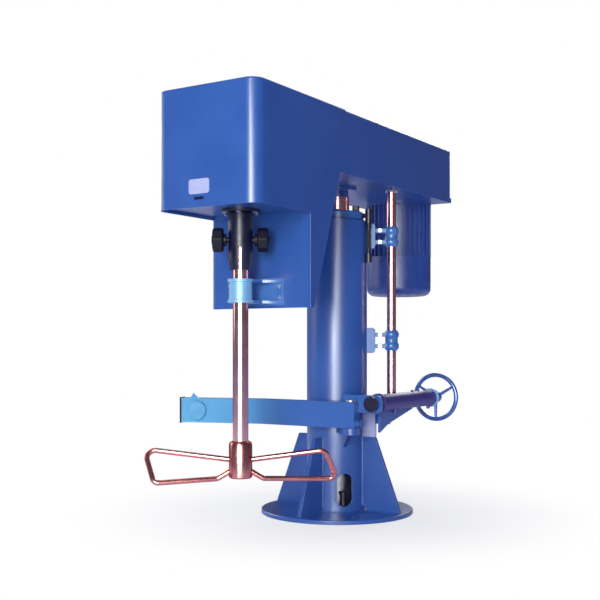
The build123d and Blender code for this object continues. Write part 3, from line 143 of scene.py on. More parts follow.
@dataclass(frozen=True)
class Finish:
    """A procedural surface: two close tones, a grain, a roughness range and a relief.

    The grain and the relief's scale count features per metre. The gleam is the specular level. A
    finish with a painted highlight goes over to that paler colour along X, from the span's first
    place to its second: light falling on one end of the part, painted into its colour.
    """

    name: str
    slot: str
    kind: Kind
    tone: Triple
    shade: Triple
    roughness: float = 0.3
    spread: float = 0.08
    grain: float = 9.0
    relief: float = 0.02
    relief_scale: float = 260.0
    coat: float = 0.0
    coat_roughness: float = 0.28
    gleam: float = 0.5
    stretch: Triple = (1.0, 1.0, 1.0)
    edge_tint: Triple | None = None
    # Paler colour and X span of a painted highlight: light on one end, painted into the colour.
    painted_highlight_colour: Triple | None = None
    painted_highlight_span: Pair = (0.0, 1.0)
    broad_octaves: float = 4.0
    fine_octaves: float = 2.0
    tone_band: Pair = (0.34, 0.66)
    fine_share: float = 0.35
    gloss_band: Pair = (0.4, 0.95)
    smoothest: float = 0.04

    def material(self) -> bpy.types.Material:
        """Return the finish's material, made on first use.

        Returns:
            The node material that reads Object coordinates.
        """
        known = bpy.data.materials.get(self.name)
        if known is not None:
            return known
        made = bpy.data.materials.new(self.name)
        made.use_nodes = True
        tree = made.node_tree
        shader = tree.nodes["Principled BSDF"]
        shader.inputs["Metallic"].default_value = METALLIC.get(self.kind, 0.0)
        shader.inputs["Coat Weight"].default_value = self.coat
        shader.inputs["Coat Roughness"].default_value = self.coat_roughness
        shader.inputs["Specular IOR Level"].default_value = self.gleam
        if self.edge_tint is not None:
            shader.inputs["Specular Tint"].default_value = (*self.edge_tint, 1.0)
        place = self._mapping(tree)
        broad = self._noise(tree, place, self.grain, self.broad_octaves)
        fine = self._noise(tree, place, self.relief_scale, self.fine_octaves)
        tree.links.new(self._tones(tree, broad), shader.inputs["Base Color"])
        tree.links.new(self._gloss(tree, broad, fine), shader.inputs["Roughness"])
        tree.links.new(self._surface(tree, fine), shader.inputs["Normal"])
        return made

    def _mapping(self, tree: Tree) -> Socket:
        """Stretch Object coordinates along the grain.

        Args:
            tree: The material's nodes.

        Returns:
            The place that the noises read.
        """
        coordinates = tree.nodes.new("ShaderNodeTexCoord")
        mapping = tree.nodes.new("ShaderNodeMapping")
        mapping.inputs["Scale"].default_value = self.stretch
        tree.links.new(coordinates.outputs["Object"], mapping.inputs["Vector"])
        return mapping.outputs["Vector"]

    def _noise(self, tree: Tree, place: Socket, scale: float, octaves: float) -> Socket:
        """Add a noise texture.

        Args:
            tree: The material's nodes.
            place: The place that the noise reads.
            scale: Features per metre.
            octaves: How many finer noises it holds.

        Returns:
            The noise's value.
        """
        noise = tree.nodes.new("ShaderNodeTexNoise")
        noise.inputs["Scale"].default_value = scale
        noise.inputs["Detail"].default_value = octaves
        tree.links.new(place, noise.inputs["Vector"])
        return noise.outputs["Fac"]

    def _tones(self, tree: Tree, broad: Socket) -> Socket:
        """Blend the two tones with the broad noise, and along X into the painted highlight, if any.

        Args:
            tree: The material's nodes.
            broad: The broad noise.

        Returns:
            The surface's colour.
        """
        ramp = tree.nodes.new("ShaderNodeValToRGB")
        for stop, place, colour in zip(ramp.color_ramp.elements, self.tone_band, (self.shade, self.tone)):
            stop.position = place
            stop.color = (*colour, 1.0)
        tree.links.new(broad, ramp.inputs["Fac"])
        if self.painted_highlight_colour is None:
            return ramp.outputs["Color"]
        # Painted highlight: the colour goes paler along X, standing in for light on one end.
        coordinates = tree.nodes.new("ShaderNodeTexCoord")
        split = tree.nodes.new("ShaderNodeSeparateXYZ")
        tree.links.new(coordinates.outputs["Object"], split.inputs["Vector"])
        share = spread_over(tree, split.outputs["X"], self.painted_highlight_span, smooth=True)
        return blended(tree, share, ramp.outputs["Color"], self.painted_highlight_colour)

    def _gloss(self, tree: Tree, broad: Socket, fine: Socket) -> Socket:
        """Vary the roughness with both noises.

        Args:
            tree: The material's nodes.
            broad: The broad noise.
            fine: The fine noise.

        Returns:
            The surface's roughness.
        """
        mix = tree.nodes.new("ShaderNodeMath")
        mix.operation = "MULTIPLY_ADD"
        mix.inputs[1].default_value = self.fine_share
        tree.links.new(fine, mix.inputs[0])
        tree.links.new(broad, mix.inputs[2])
        target = (max(self.smoothest, self.roughness - self.spread), self.roughness + self.spread)
        return spread_over(tree, mix.outputs["Value"], self.gloss_band, target)

    def _surface(self, tree: Tree, fine: Socket) -> Socket:
        """Turn the fine noise into relief.

        Args:
            tree: The material's nodes.
            fine: The fine noise.

        Returns:
            The surface's normal.
        """
        bump = tree.nodes.new("ShaderNodeBump")
        bump.inputs["Strength"].default_value = self.relief
        bump.inputs["Distance"].default_value = MILLIMETRE
        tree.links.new(fine, bump.inputs["Height"])
        return bump.outputs["Normal"]


ENAMEL = Finish(
    "royal_blue_enamel", "blue_enamel", Kind.ENAMEL, (0.028, 0.110, 0.420), (0.023, 0.096, 0.385),
    roughness=0.36, spread=0.05, grain=5.0, relief=0.10, relief_scale=420.0, coat=0.65,
)
# The arm's enamel goes paler towards its -X end: a painted highlight, not a paler paint.
ARM_ENAMEL = Finish(
    "arm_enamel_painted_highlight", "blue_enamel", Kind.ENAMEL, (0.036, 0.140, 0.470), (0.030, 0.124, 0.430),
    roughness=0.34, spread=0.05, grain=7.0, relief=0.10, relief_scale=420.0, coat=0.30,
    painted_highlight_colour=(0.125, 0.450, 0.760), painted_highlight_span=(-0.06, -0.62),
)
RING_ENAMEL = Finish(
    "bracket_blue_enamel", "blue_enamel", Kind.ENAMEL, (0.060, 0.190, 0.520), (0.048, 0.160, 0.470),
    roughness=0.32, grain=16.0, relief=0.12, relief_scale=420.0, coat=0.35,
)
PALE_ENAMEL = Finish(
    "light_blue_enamel", "light_blue_enamel", Kind.ENAMEL, (0.125, 0.430, 0.700), (0.100, 0.370, 0.650),
    roughness=0.30, grain=14.0, relief=0.12, relief_scale=380.0, coat=0.4,
)
RIM_ENAMEL = Finish(
    "slot_rim_enamel", "light_blue_enamel", Kind.ENAMEL, (0.034, 0.130, 0.450), (0.026, 0.105, 0.400),
    roughness=0.34, grain=14.0, relief=0.12, relief_scale=380.0, coat=0.3,
)
MOTOR_ENAMEL = Finish(
    "motor_blue_enamel", "motor_enamel", Kind.ENAMEL, (0.028, 0.086, 0.370), (0.022, 0.068, 0.330),
    roughness=0.36, grain=16.0, relief=0.22, relief_scale=300.0, coat=0.3,
)
DARK_ENAMEL = Finish(
    "dark_blue_enamel", "dark_blue_enamel", Kind.ENAMEL, (0.010, 0.013, 0.105), (0.007, 0.009, 0.080),
    roughness=0.42, grain=12.0, relief=0.15, coat=0.1, gleam=0.35,
)
PALE_PLATE = Finish(
    "pale_lilac_plate", "pale_zinc", Kind.ENAMEL, (0.480, 0.520, 0.800), (0.420, 0.460, 0.740),
    roughness=0.38, grain=22.0, relief=0.15, coat=0.2,
)
STEEL = Finish(
    "polished_rose_steel", "polished_steel", Kind.METAL, (1.000, 0.620, 0.640), (0.960, 0.550, 0.580),
    roughness=0.20, spread=0.04, grain=4.0, relief=0.03, relief_scale=90.0, stretch=(1.0, 1.0, 5.0),
    edge_tint=(0.62, 0.24, 0.30),
)
LEVEL_STEEL = Finish(
    "turned_screw_steel", "polished_steel", Kind.METAL, (0.760, 0.740, 0.800), (0.700, 0.680, 0.750),
    roughness=0.24, grain=8.0, relief=0.05, relief_scale=110.0, stretch=(1.0, 5.0, 1.0),
)
COPPER = Finish(
    "copper_tinted_steel", "copper_steel", Kind.METAL, (0.850, 0.360, 0.350), (0.760, 0.300, 0.300),
    roughness=0.23, spread=0.05, grain=18.0, relief=0.05, relief_scale=160.0,
    edge_tint=(0.50, 0.16, 0.20),
)
BRIGHT = Finish(
    "bright_zinc", "bright_fasteners", Kind.METAL, (0.760, 0.800, 0.920), (0.640, 0.680, 0.820),
    roughness=0.26, grain=60.0, relief=0.05,
)
BLACKED = Finish(
    "blued_black_steel", "black_steel", Kind.ENAMEL, (0.010, 0.011, 0.046), (0.006, 0.007, 0.030),
    roughness=0.36, grain=26.0, relief=0.18, relief_scale=320.0, coat=0.15, gleam=0.4,
)
PHENOLIC = Finish(
    "moulded_black", "black_plastic", Kind.MOULDED, (0.006, 0.007, 0.020), (0.004, 0.004, 0.012),
    roughness=0.48, grain=30.0, relief=0.25, relief_scale=500.0, gleam=0.25,
)
BRONZE = Finish(
    "turned_bronze", "bronze", Kind.METAL, (0.640, 0.420, 0.200), (0.520, 0.320, 0.140),
    roughness=0.30, grain=24.0, relief=0.08,
)
PLAIN_STEEL = Finish(
    "machined_steel", "plain_steel", Kind.METAL, (0.480, 0.490, 0.520), (0.380, 0.390, 0.420),
    roughness=0.34, grain=20.0, relief=0.10, relief_scale=140.0,
)
RUBBER = Finish(
    "black_rubber", "black_rubber", Kind.RUBBER, (0.014, 0.014, 0.020), (0.009, 0.009, 0.013),
    roughness=0.60, grain=40.0, relief=0.35, relief_scale=600.0,
)
PAD_FACE = Finish(
    "pale_blue_pad", "black_rubber", Kind.MOULDED, (0.130, 0.470, 0.760), (0.100, 0.390, 0.680),
    roughness=0.42, grain=30.0, relief=0.20, relief_scale=420.0, coat=0.15,
)
IRON = Finish(
    "cast_pulley_iron", "pulley_iron", Kind.CAST, (0.270, 0.280, 0.300), (0.190, 0.200, 0.220),
    roughness=0.46, grain=30.0, relief=0.40, relief_scale=240.0,
)
WHEEL_BLUE = Finish(
    "steel_blue_wheel", "wheel_steel", Kind.CAST, (0.130, 0.230, 0.620), (0.090, 0.170, 0.520),
    roughness=0.22, grain=20.0, relief=0.08, coat=0.5,
)


# ---------------------------------------------------------------- making pieces
def register(
    name: str,
    form: Form,
    finish: Finish,
    body: str,
    stands_for: tuple[str, ...] = (),
    crease: float = CREASE_ANGLE,
) -> bpy.types.Object:
    """Turn a bmesh into a finished piece that rides on a body.

    Args:
        name: The piece's name.
        form: The bmesh, in the frame's axes; it is freed.
        finish: The surface.
        body: The CAD body that carries the piece.
        stands_for: CAD nodes that the piece replaces.
        crease: Edges sharper than this many degrees stay sharp.

    Returns:
        The new object.
    """
    mesh = bpy.data.meshes.new(name)
    form.to_mesh(mesh)
    form.free()
    if "custom_normal" in mesh.attributes:
        mesh.attributes.remove(mesh.attributes["custom_normal"])
    mesh.polygons.foreach_set("use_smooth", [True] * len(mesh.polygons))
    mesh.set_sharp_from_angle(angle=radians(crease))
    mesh.materials.clear()
    mesh.materials.append(finish.material())
    piece = bpy.data.objects.new(name, mesh)
    bpy.context.scene.collection.objects.link(piece)
    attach(piece, body)
    if stands_for:
        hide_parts(*stands_for)
    LOG.info("%s rides on %s", name, body)
    return piece


def soften(piece: bpy.types.Object, width: float, segments: int = 2) -> None:
    """Round a piece's sharp edges with a live bevel.

    Args:
        piece: The object to round.
        width: The rounding's width.
        segments: How many faces cross the rounding.
    """
    bevel = piece.modifiers.new("edge_rounding", "BEVEL")
    bevel.width = width
    bevel.segments = segments
    bevel.limit_method = "ANGLE"
    bevel.angle_limit = radians(CREASE_ANGLE)
    bevel.harden_normals = True


def body_of_node(node: str) -> str:
    """Name of the body that holds a CAD node."""
    bodies = frame["record"]["behaviour"]["bodies"]
    return next(body for body, members in bodies.items() if node in members)


def merged_copy(node: str) -> Form:
    """Copy a CAD node's triangles and join them at their shared corners.

    Args:
        node: The CAD node.

    Returns:
        The closed copy.
    """
    copy = bmesh.new()
    copy.from_mesh(frame["nodes"][node].data)
    bmesh.ops.remove_doubles(copy, verts=copy.verts, dist=MERGE_DISTANCE)
    return copy


def dress(name: str, form: Form, finish: Finish, node: str, edge: float) -> None:
    """Make a node's worked copy the piece that stands for it, with whole faces and soft edges.

    Args:
        name: The piece's name.
        form: The node's worked copy.
        finish: Its surface.
        node: The CAD node.
        edge: Width of the edge rounding in millimetres; zero leaves the edges alone.
    """
    bmesh.ops.dissolve_limit(form, angle_limit=radians(FLAT_ANGLE), verts=form.verts, edges=form.edges)
    piece = register(name, form, finish, body_of_node(node), (node,))
    if edge > 0:
        soften(piece, edge * MILLIMETRE)


def turned(profile: list[Pair], centre: Vector, axis: Vector, steps: int) -> Form:
    """Spin a closed profile about an axis.

    Args:
        profile: (radius, distance along the axis) points of the closed outline.
        centre: A point on the axis, where the distance is zero.
        axis: The axis' direction.
        steps: Faces round the turn.

    Returns:
        The closed solid.
    """
    made = bmesh.new()
    across = axis.orthogonal().normalized()
    along = axis.normalized()
    points = [made.verts.new(centre + across * radius + along * height) for radius, height in profile]
    edges = [made.edges.new((points[i - 1], points[i])) for i in range(len(points))]
    bmesh.ops.spin(
        made, geom=points + edges, cent=centre, axis=along, angle=2 * pi, steps=steps, use_merge=True
    )
    bmesh.ops.remove_doubles(made, verts=made.verts, dist=POLE_DISTANCE)
    bmesh.ops.recalc_face_normals(made, faces=made.faces)
    return made


def ring_profile(ring: float, radius: float, depth: float, sides: int) -> list[Pair]:
    """Round or oval outline of a ring's section, for turning.

    Args:
        ring: Radius from the axis to the section's middle.
        radius: Half the section's width across the axis.
        depth: Half its width along the axis.
        sides: Corners of the outline.

    Returns:
        The outline's (radius, distance along the axis) points.
    """
    turns = [2 * pi * i / sides for i in range(sides)]
    return [(ring + radius * cos(turn), depth * sin(turn)) for turn in turns]


def rod_between(start: Vector, end: Vector, radius: float, tip: float, sides: int) -> Form:
    """Round bar between two points, tapering from one radius to another.

    Args:
        start: Centre of the first end.
        end: Centre of the second end.
        radius: Radius at the first end.
        tip: Radius at the second end.
        sides: Faces round the bar.

    Returns:
        The closed bar.
    """
    made = bmesh.new()
    span = end - start
    turn = span.to_track_quat("Z", "Y").to_matrix().to_4x4()
    place = Matrix.Translation((start + end) / 2) @ turn
    bmesh.ops.create_cone(
        made, cap_ends=True, segments=sides, radius1=radius, radius2=tip, depth=span.length, matrix=place
    )
    return made


def heading(edge: bmesh.types.BMEdge) -> Vector:
    """Direction of an edge."""
    return (edge.verts[0].co - edge.verts[1].co).normalized()


def round_edges(form: Form, edges: list[bmesh.types.BMEdge], width: float, segments: int) -> None:
    """Round some edges of a bmesh.

    Args:
        form: The bmesh.
        edges: Its edges that become round.
        width: The rounding's width.
        segments: How many faces cross the rounding.
    """
    bmesh.ops.bevel(
        form, geom=edges, offset=width, offset_type="OFFSET", segments=segments, profile=0.5,
        affect="EDGES", material=-1,
    )


def merge_into(target: Form, part: Form) -> None:
    """Add one bmesh's faces to another and free it.

    Args:
        target: The bmesh that receives the faces.
        part: The bmesh that is added.
    """
    carrier = bpy.data.meshes.new("carrier")
    part.to_mesh(carrier)
    part.free()
    target.from_mesh(carrier)
    bpy.data.meshes.remove(carrier)


def swell(phase: float) -> float:
    """Width of a weld bead at a phase of its scales, as a share of its full width."""
    return WELD_WAIST + (1.0 - WELD_WAIST) * abs(sin(phase))


def weld_seam(start: Vector, end: Vector, radius: float) -> Form:
    """Straight weld bead with the scales that a welder leaves.

    Args:
        start: One end of the seam.
        end: The other end.
        radius: Half the bead's width.

    Returns:
        The bead.
    """
    length = (end - start).length
    scales = max(FEWEST_SCALES, int(length / (radius * WELD_PITCH)))
    bead = rod_between(start, end, radius, radius, WELD_SIDES)
    along = (end - start).normalized()
    long_edges = [edge for edge in bead.edges if abs(heading(edge).dot(along)) > ALIGNED]
    bmesh.ops.subdivide_edges(bead, edges=long_edges, cuts=2 * scales, use_grid_fill=True)
    for vert in bead.verts:
        travel = (vert.co - start).dot(along)
        middle = start + along * travel
        vert.co = middle + (vert.co - middle) * swell(pi * scales * travel / length)
    return bead


def weld_ring(centre: Vector, ring: float, radius: float, scales: int) -> Form:
    """Round weld bead about an upright axis.

    Args:
        centre: The ring's centre.
        ring: Radius from the axis to the bead's middle.
        radius: Half the bead's width.
        scales: Number of scales round the ring.

    Returns:
        The bead.
    """
    bead = turned(ring_profile(ring, radius, radius, WELD_SIDES), centre, UP, 2 * scales)
    for vert in bead.verts:
        flat = Vector((vert.co.x - centre.x, vert.co.y - centre.y, 0))
        middle = centre + flat.normalized() * ring
        turn = Vector((1, 0)).angle_signed(Vector((flat.x, flat.y)), 0.0)
        vert.co = middle + (vert.co - middle) * swell(scales * turn / 2)
    return bead


# ---------------------------------------------------------------- sub-assemblies
Dressing = dict[str, tuple[Finish, float]]


class Assembly:
    """Group of CAD nodes, each with its finish and the width of its edge rounding in millimetres."""

    nodes: ClassVar[Dressing] = {}

    def build(self) -> None:
        """Dress every node of the group."""
        self.dress_nodes(*self.nodes)

    def dress_nodes(self, *names: str) -> None:
        """Make the finished copies of some of the group's nodes.

        Args:
            names: The nodes.
        """
        for name in names:
            finish, edge = self.nodes[name]
            dress(f"{name}_skin", merged_copy(name), finish, name, edge)


@dataclass
class FloorStand(Assembly):
    """Floor plate and gussets, with the weld beads between them and the column.

    The beads start past the gussets' coped inner corners and stop short of their toes and crowns.
    """

    nodes: ClassVar[Dressing] = {
        "base_plate": (ENAMEL, 1.5),
        "base_gussets": (ENAMEL, 1.5),
    }
    bead: float = 4.0 * MILLIMETRE
    column_scales: int = 150
    gussets: int = 4
    half_web: float = 9.0 * MILLIMETRE
    cope: float = 24.0 * MILLIMETRE
    toe: float = 8.0 * MILLIMETRE
    crown: float = 4.0 * MILLIMETRE

    def build(self) -> None:
        """Dress the stand and weld it together."""
        super().build()
        self.welds()

    def welds(self) -> None:
        """Lay the bead round the column's foot and beside each gusset."""
        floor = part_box("base_plate")[1].z
        column_low, column_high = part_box("column_tube")
        gusset_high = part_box("base_gussets")[1]
        column = (column_high.x - column_low.x) / 2
        beads = weld_ring(Vector((0, 0, floor)), column, self.bead, self.column_scales)
        for place in range(self.gussets):
            turn = Matrix.Rotation(place * 2 * pi / self.gussets, 3, "Z")
            for side in (-self.half_web, self.half_web):
                low = turn @ Vector((column, side, floor + self.cope))
                high = turn @ Vector((column, side, gusset_high.z - self.crown))
                near = turn @ Vector((column + self.cope, side, floor))
                far = turn @ Vector((gusset_high.x - self.toe, side, floor))
                merge_into(beads, weld_seam(low, high, self.bead))
                merge_into(beads, weld_seam(near, far, self.bead))
        register("stand_welds", beads, ENAMEL, "base")


@dataclass
class LiftColumn(Assembly):
    """Column, gland, cylinder and ram."""

    nodes: ClassVar[Dressing] = {
        "column_tube": (ENAMEL, 0.8),
        "service_slot_rim": (RIM_ENAMEL, 1.2),
        "gland_collar": (RING_ENAMEL, 1.0),
        "gland_bush": (BRONZE, 0.5),
        "gland_screws": (BRIGHT, 0.4),
        "cylinder_barrel": (PLAIN_STEEL, 0.0),
        "cylinder_end_cap": (PLAIN_STEEL, 0.0),
        "cylinder_port_elbow": (BLACKED, 0.8),
        "ram_tube": (STEEL, 0.5),
        "ram_piston": (PLAIN_STEEL, 0.0),
        "ram_neck": (ENAMEL, 1.2),
    }


@dataclass
class HydraulicLine(Assembly):
    """Black elbows and the hose beside the column, with its crimped ferrules."""

    nodes: ClassVar[Dressing] = {
        "hose_fittings": (BLACKED, 1.0),
        "hydraulic_hose": (RUBBER, 0.0),
    }
    ferrule: float = 30.0 * MILLIMETRE
    proud: float = 2.6 * MILLIMETRE
    ribs: int = 4
    rib_lead: float = 0.8 * MILLIMETRE
    rib_share: float = 0.62
    groove_share: float = 0.8
    groove_height: float = 0.5
    steps: int = 32

    def build(self) -> None:
        """Dress the fittings and the hose, and crimp the hose's ends."""
        super().build()
        self.ferrules()

    def ferrules(self) -> None:
        """Put a ribbed ferrule on each end of the hose."""
        low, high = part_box("hydraulic_hose")
        radius = (high.x - low.x) / 2
        middle = (low + high) / 2
        pitch = self.ferrule / self.ribs
        made = bmesh.new()
        for foot in (low.z, high.z - self.ferrule):
            profile = [(radius, 0.0)]
            for rib in range(self.ribs):
                start = rib * pitch
                profile.append((radius + self.proud, start + self.rib_lead))
                profile.append((radius + self.proud, start + pitch * self.rib_share))
                profile.append((radius + self.proud * self.groove_height, start + pitch * self.groove_share))
            profile.append((radius, self.ferrule))
            merge_into(made, turned(profile, Vector((middle.x, middle.y, foot)), UP, self.steps))
        register("hose_ferrules", made, BLACKED, "base")


@dataclass
class Head(Assembly):
    """Front casing, beam, belt cover and the drive inside them."""

    nodes: ClassVar[Dressing] = {
        "front_housing": (ENAMEL, 1.5),
        "front_floor": (ENAMEL, 0.8),
        "hanging_plate": (ENAMEL, 1.0),
        "beam_plate": (ENAMEL, 1.5),
        "belt_cover": (ENAMEL, 1.0),
        "bearing_housing": (BLACKED, 1.0),
        "spindle_bearings": (PLAIN_STEEL, 0.0),
        "housing_bolts": (BRIGHT, 0.4),
        "v_belts": (RUBBER, 0.0),
    }
    badge_width: float = 104.0 * MILLIMETRE
    badge_height: float = 60.0 * MILLIMETRE
    badge_x: float = -24.0 * MILLIMETRE
    badge_drop: float = 411.0 * MILLIMETRE
    strip_width: float = 48.0 * MILLIMETRE
    strip_height: float = 12.0 * MILLIMETRE
    strip_drop: float = 459.0 * MILLIMETRE
    plate_thick: float = 1.2 * MILLIMETRE
    corner_share: float = 0.18
    corner_segments: int = 4
    rivet_radius: float = 2.4 * MILLIMETRE
    rivet_inset: float = 6.0 * MILLIMETRE
    rivet_rise: float = 0.5
    rivet_sides: int = 14
    rivet_rings: int = 8

    def build(self) -> None:
        """Dress the casings and fix the two blank plates."""
        super().build()
        self.blank_plate("blank_pale_plate", self.badge_width, self.badge_height, self.badge_drop, PALE_PLATE)
        self.blank_plate("blank_dark_plate", self.strip_width, self.strip_height, self.strip_drop, BLACKED)

    def blank_plate(self, name: str, width: float, height: float, drop: float, finish: Finish) -> None:
        """Fix an unmarked plate to the casing's front.

        Args:
            name: The piece's name.
            width: Width across the front.
            height: Height of the plate.
            drop: Distance of its middle below the head's top.
            finish: Its surface.
        """
        low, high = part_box("front_housing")
        made = bmesh.new()
        bmesh.ops.create_cube(made, size=1.0)
        bmesh.ops.scale(made, vec=(width, self.plate_thick, height), verts=made.verts)
        centre = Vector((self.badge_x, low.y - self.plate_thick / 2, high.z - drop))
        bmesh.ops.translate(made, vec=centre, verts=made.verts)
        corners = [edge for edge in made.edges if abs(heading(edge).y) > ALIGNED]
        round_edges(made, corners, height * self.corner_share, self.corner_segments)
        for side in (-1, 1):
            rivet = centre + Vector((side * (width / 2 - self.rivet_inset), -self.plate_thick / 2, 0))
            merge_into(made, self.rivet_head(rivet))
        register(name, made, finish, "head")

    def rivet_head(self, place: Vector) -> Form:
        """Low round head of a rivet.

        Args:
            place: The head's middle, on the plate's face.

        Returns:
            The head.
        """
        dome = bmesh.new()
        bmesh.ops.create_uvsphere(
            dome, u_segments=self.rivet_sides, v_segments=self.rivet_rings, radius=self.rivet_radius
        )
        bmesh.ops.scale(dome, vec=(1, self.rivet_rise, 1), verts=dome.verts)
        bmesh.ops.translate(dome, vec=place, verts=dome.verts)
        return dome


@dataclass
class SpindleLine(Assembly):
    """Spindle, coupling sleeve with its hand knobs, shaft and impeller."""

    nodes: ClassVar[Dressing] = {
        "drive_spindle": (STEEL, 0.5),
        "spindle_pulley": (IRON, 0.5),
        "coupling_sleeve": (BLACKED, 1.0),
        "agitator_shaft": (STEEL, 0.5),
        "impeller_hub": (COPPER, 1.0),
        "impeller_loop_right": (COPPER, 0.0),
        "impeller_loop_left": (COPPER, 0.0),
        "sleeve_knob_right": (PHENOLIC, 2.2),
        "sleeve_knob_left": (PHENOLIC, 2.2),
    }


@dataclass
class SteadyBearing(Assembly):
    """Bearing ring round the shaft, its bush, bracket and bolts."""

    nodes: ClassVar[Dressing] = {
        "steady_housing": (PALE_ENAMEL, 1.2),
        "steady_bush": (BRONZE, 0.4),
        "steady_bracket": (RING_ENAMEL, 1.2),
        "steady_bolts": (BRIGHT, 0.5),
    }


@dataclass
class MotorUnit(Assembly):
    """Finned motor with its fan cover, terminal box, rotor and pulley."""

    nodes: ClassVar[Dressing] = {
        "motor_body": (MOTOR_ENAMEL, 0.8),
        "motor_fan_cover": (MOTOR_ENAMEL, 0.6),
        "motor_terminal_box": (MOTOR_ENAMEL, 1.5),
        "motor_rotor": (PLAIN_STEEL, 0.0),
        "motor_pulley": (IRON, 0.4),
    }
    drawn_edge: float = 18.0 * MILLIMETRE
    pressed_edge: float = 40.0 * MILLIMETRE
    edge_margin: float = 0.1 * MILLIMETRE
    inner_share: float = 0.6

    def build(self) -> None:
        """Dress the motor, with the pressed fan cover in its own form."""
        self.dress_nodes("motor_body")
        self.fan_cover()
        self.dress_nodes("motor_terminal_box", "motor_rotor", "motor_pulley")

    def fan_cover(self) -> None:
        """Pressed cover whose foot is rounder than the drawn one, as sheet metal comes out."""
        low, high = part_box("motor_fan_cover")
        axis = (low + high) / 2
        outer = (high.x - low.x) / 2
        growth = self.pressed_edge - self.drawn_edge
        copy = merged_copy("motor_fan_cover")
        for vert in copy.verts:
            flat = Vector((vert.co.x - axis.x, vert.co.y - axis.y))
            out = flat.length - (outer - self.drawn_edge)
            down = vert.co.z - (low.z + self.drawn_edge)
            reach = Vector((out, down)).length
            within = out >= -self.edge_margin and down <= self.edge_margin
            if not within or reach < self.drawn_edge * self.inner_share:
                continue
            rounder = Vector((out, down)) * (reach + growth) / reach
            ring = flat.normalized() * (outer - self.pressed_edge + rounder.x)
            vert.co = (axis.x + ring.x, axis.y + ring.y, low.z + self.pressed_edge + rounder.y)
        finish, edge = self.nodes["motor_fan_cover"]
        dress("fan_cover_pressed", copy, finish, "motor_fan_cover", edge)


@dataclass
class GuideRod(Assembly):
    """Guide rod with its nut and the two ring brackets that it slides in."""

    nodes: ClassVar[Dressing] = {
        "guide_rod": (STEEL, 0.5),
        "guide_rod_nut": (BRIGHT, 1.0),
        "lower_rod_bracket": (RING_ENAMEL, 3.0),
        "upper_rod_bracket": (RING_ENAMEL, 3.0),
        "rod_bracket_bolts": (BRIGHT, 0.5),
    }


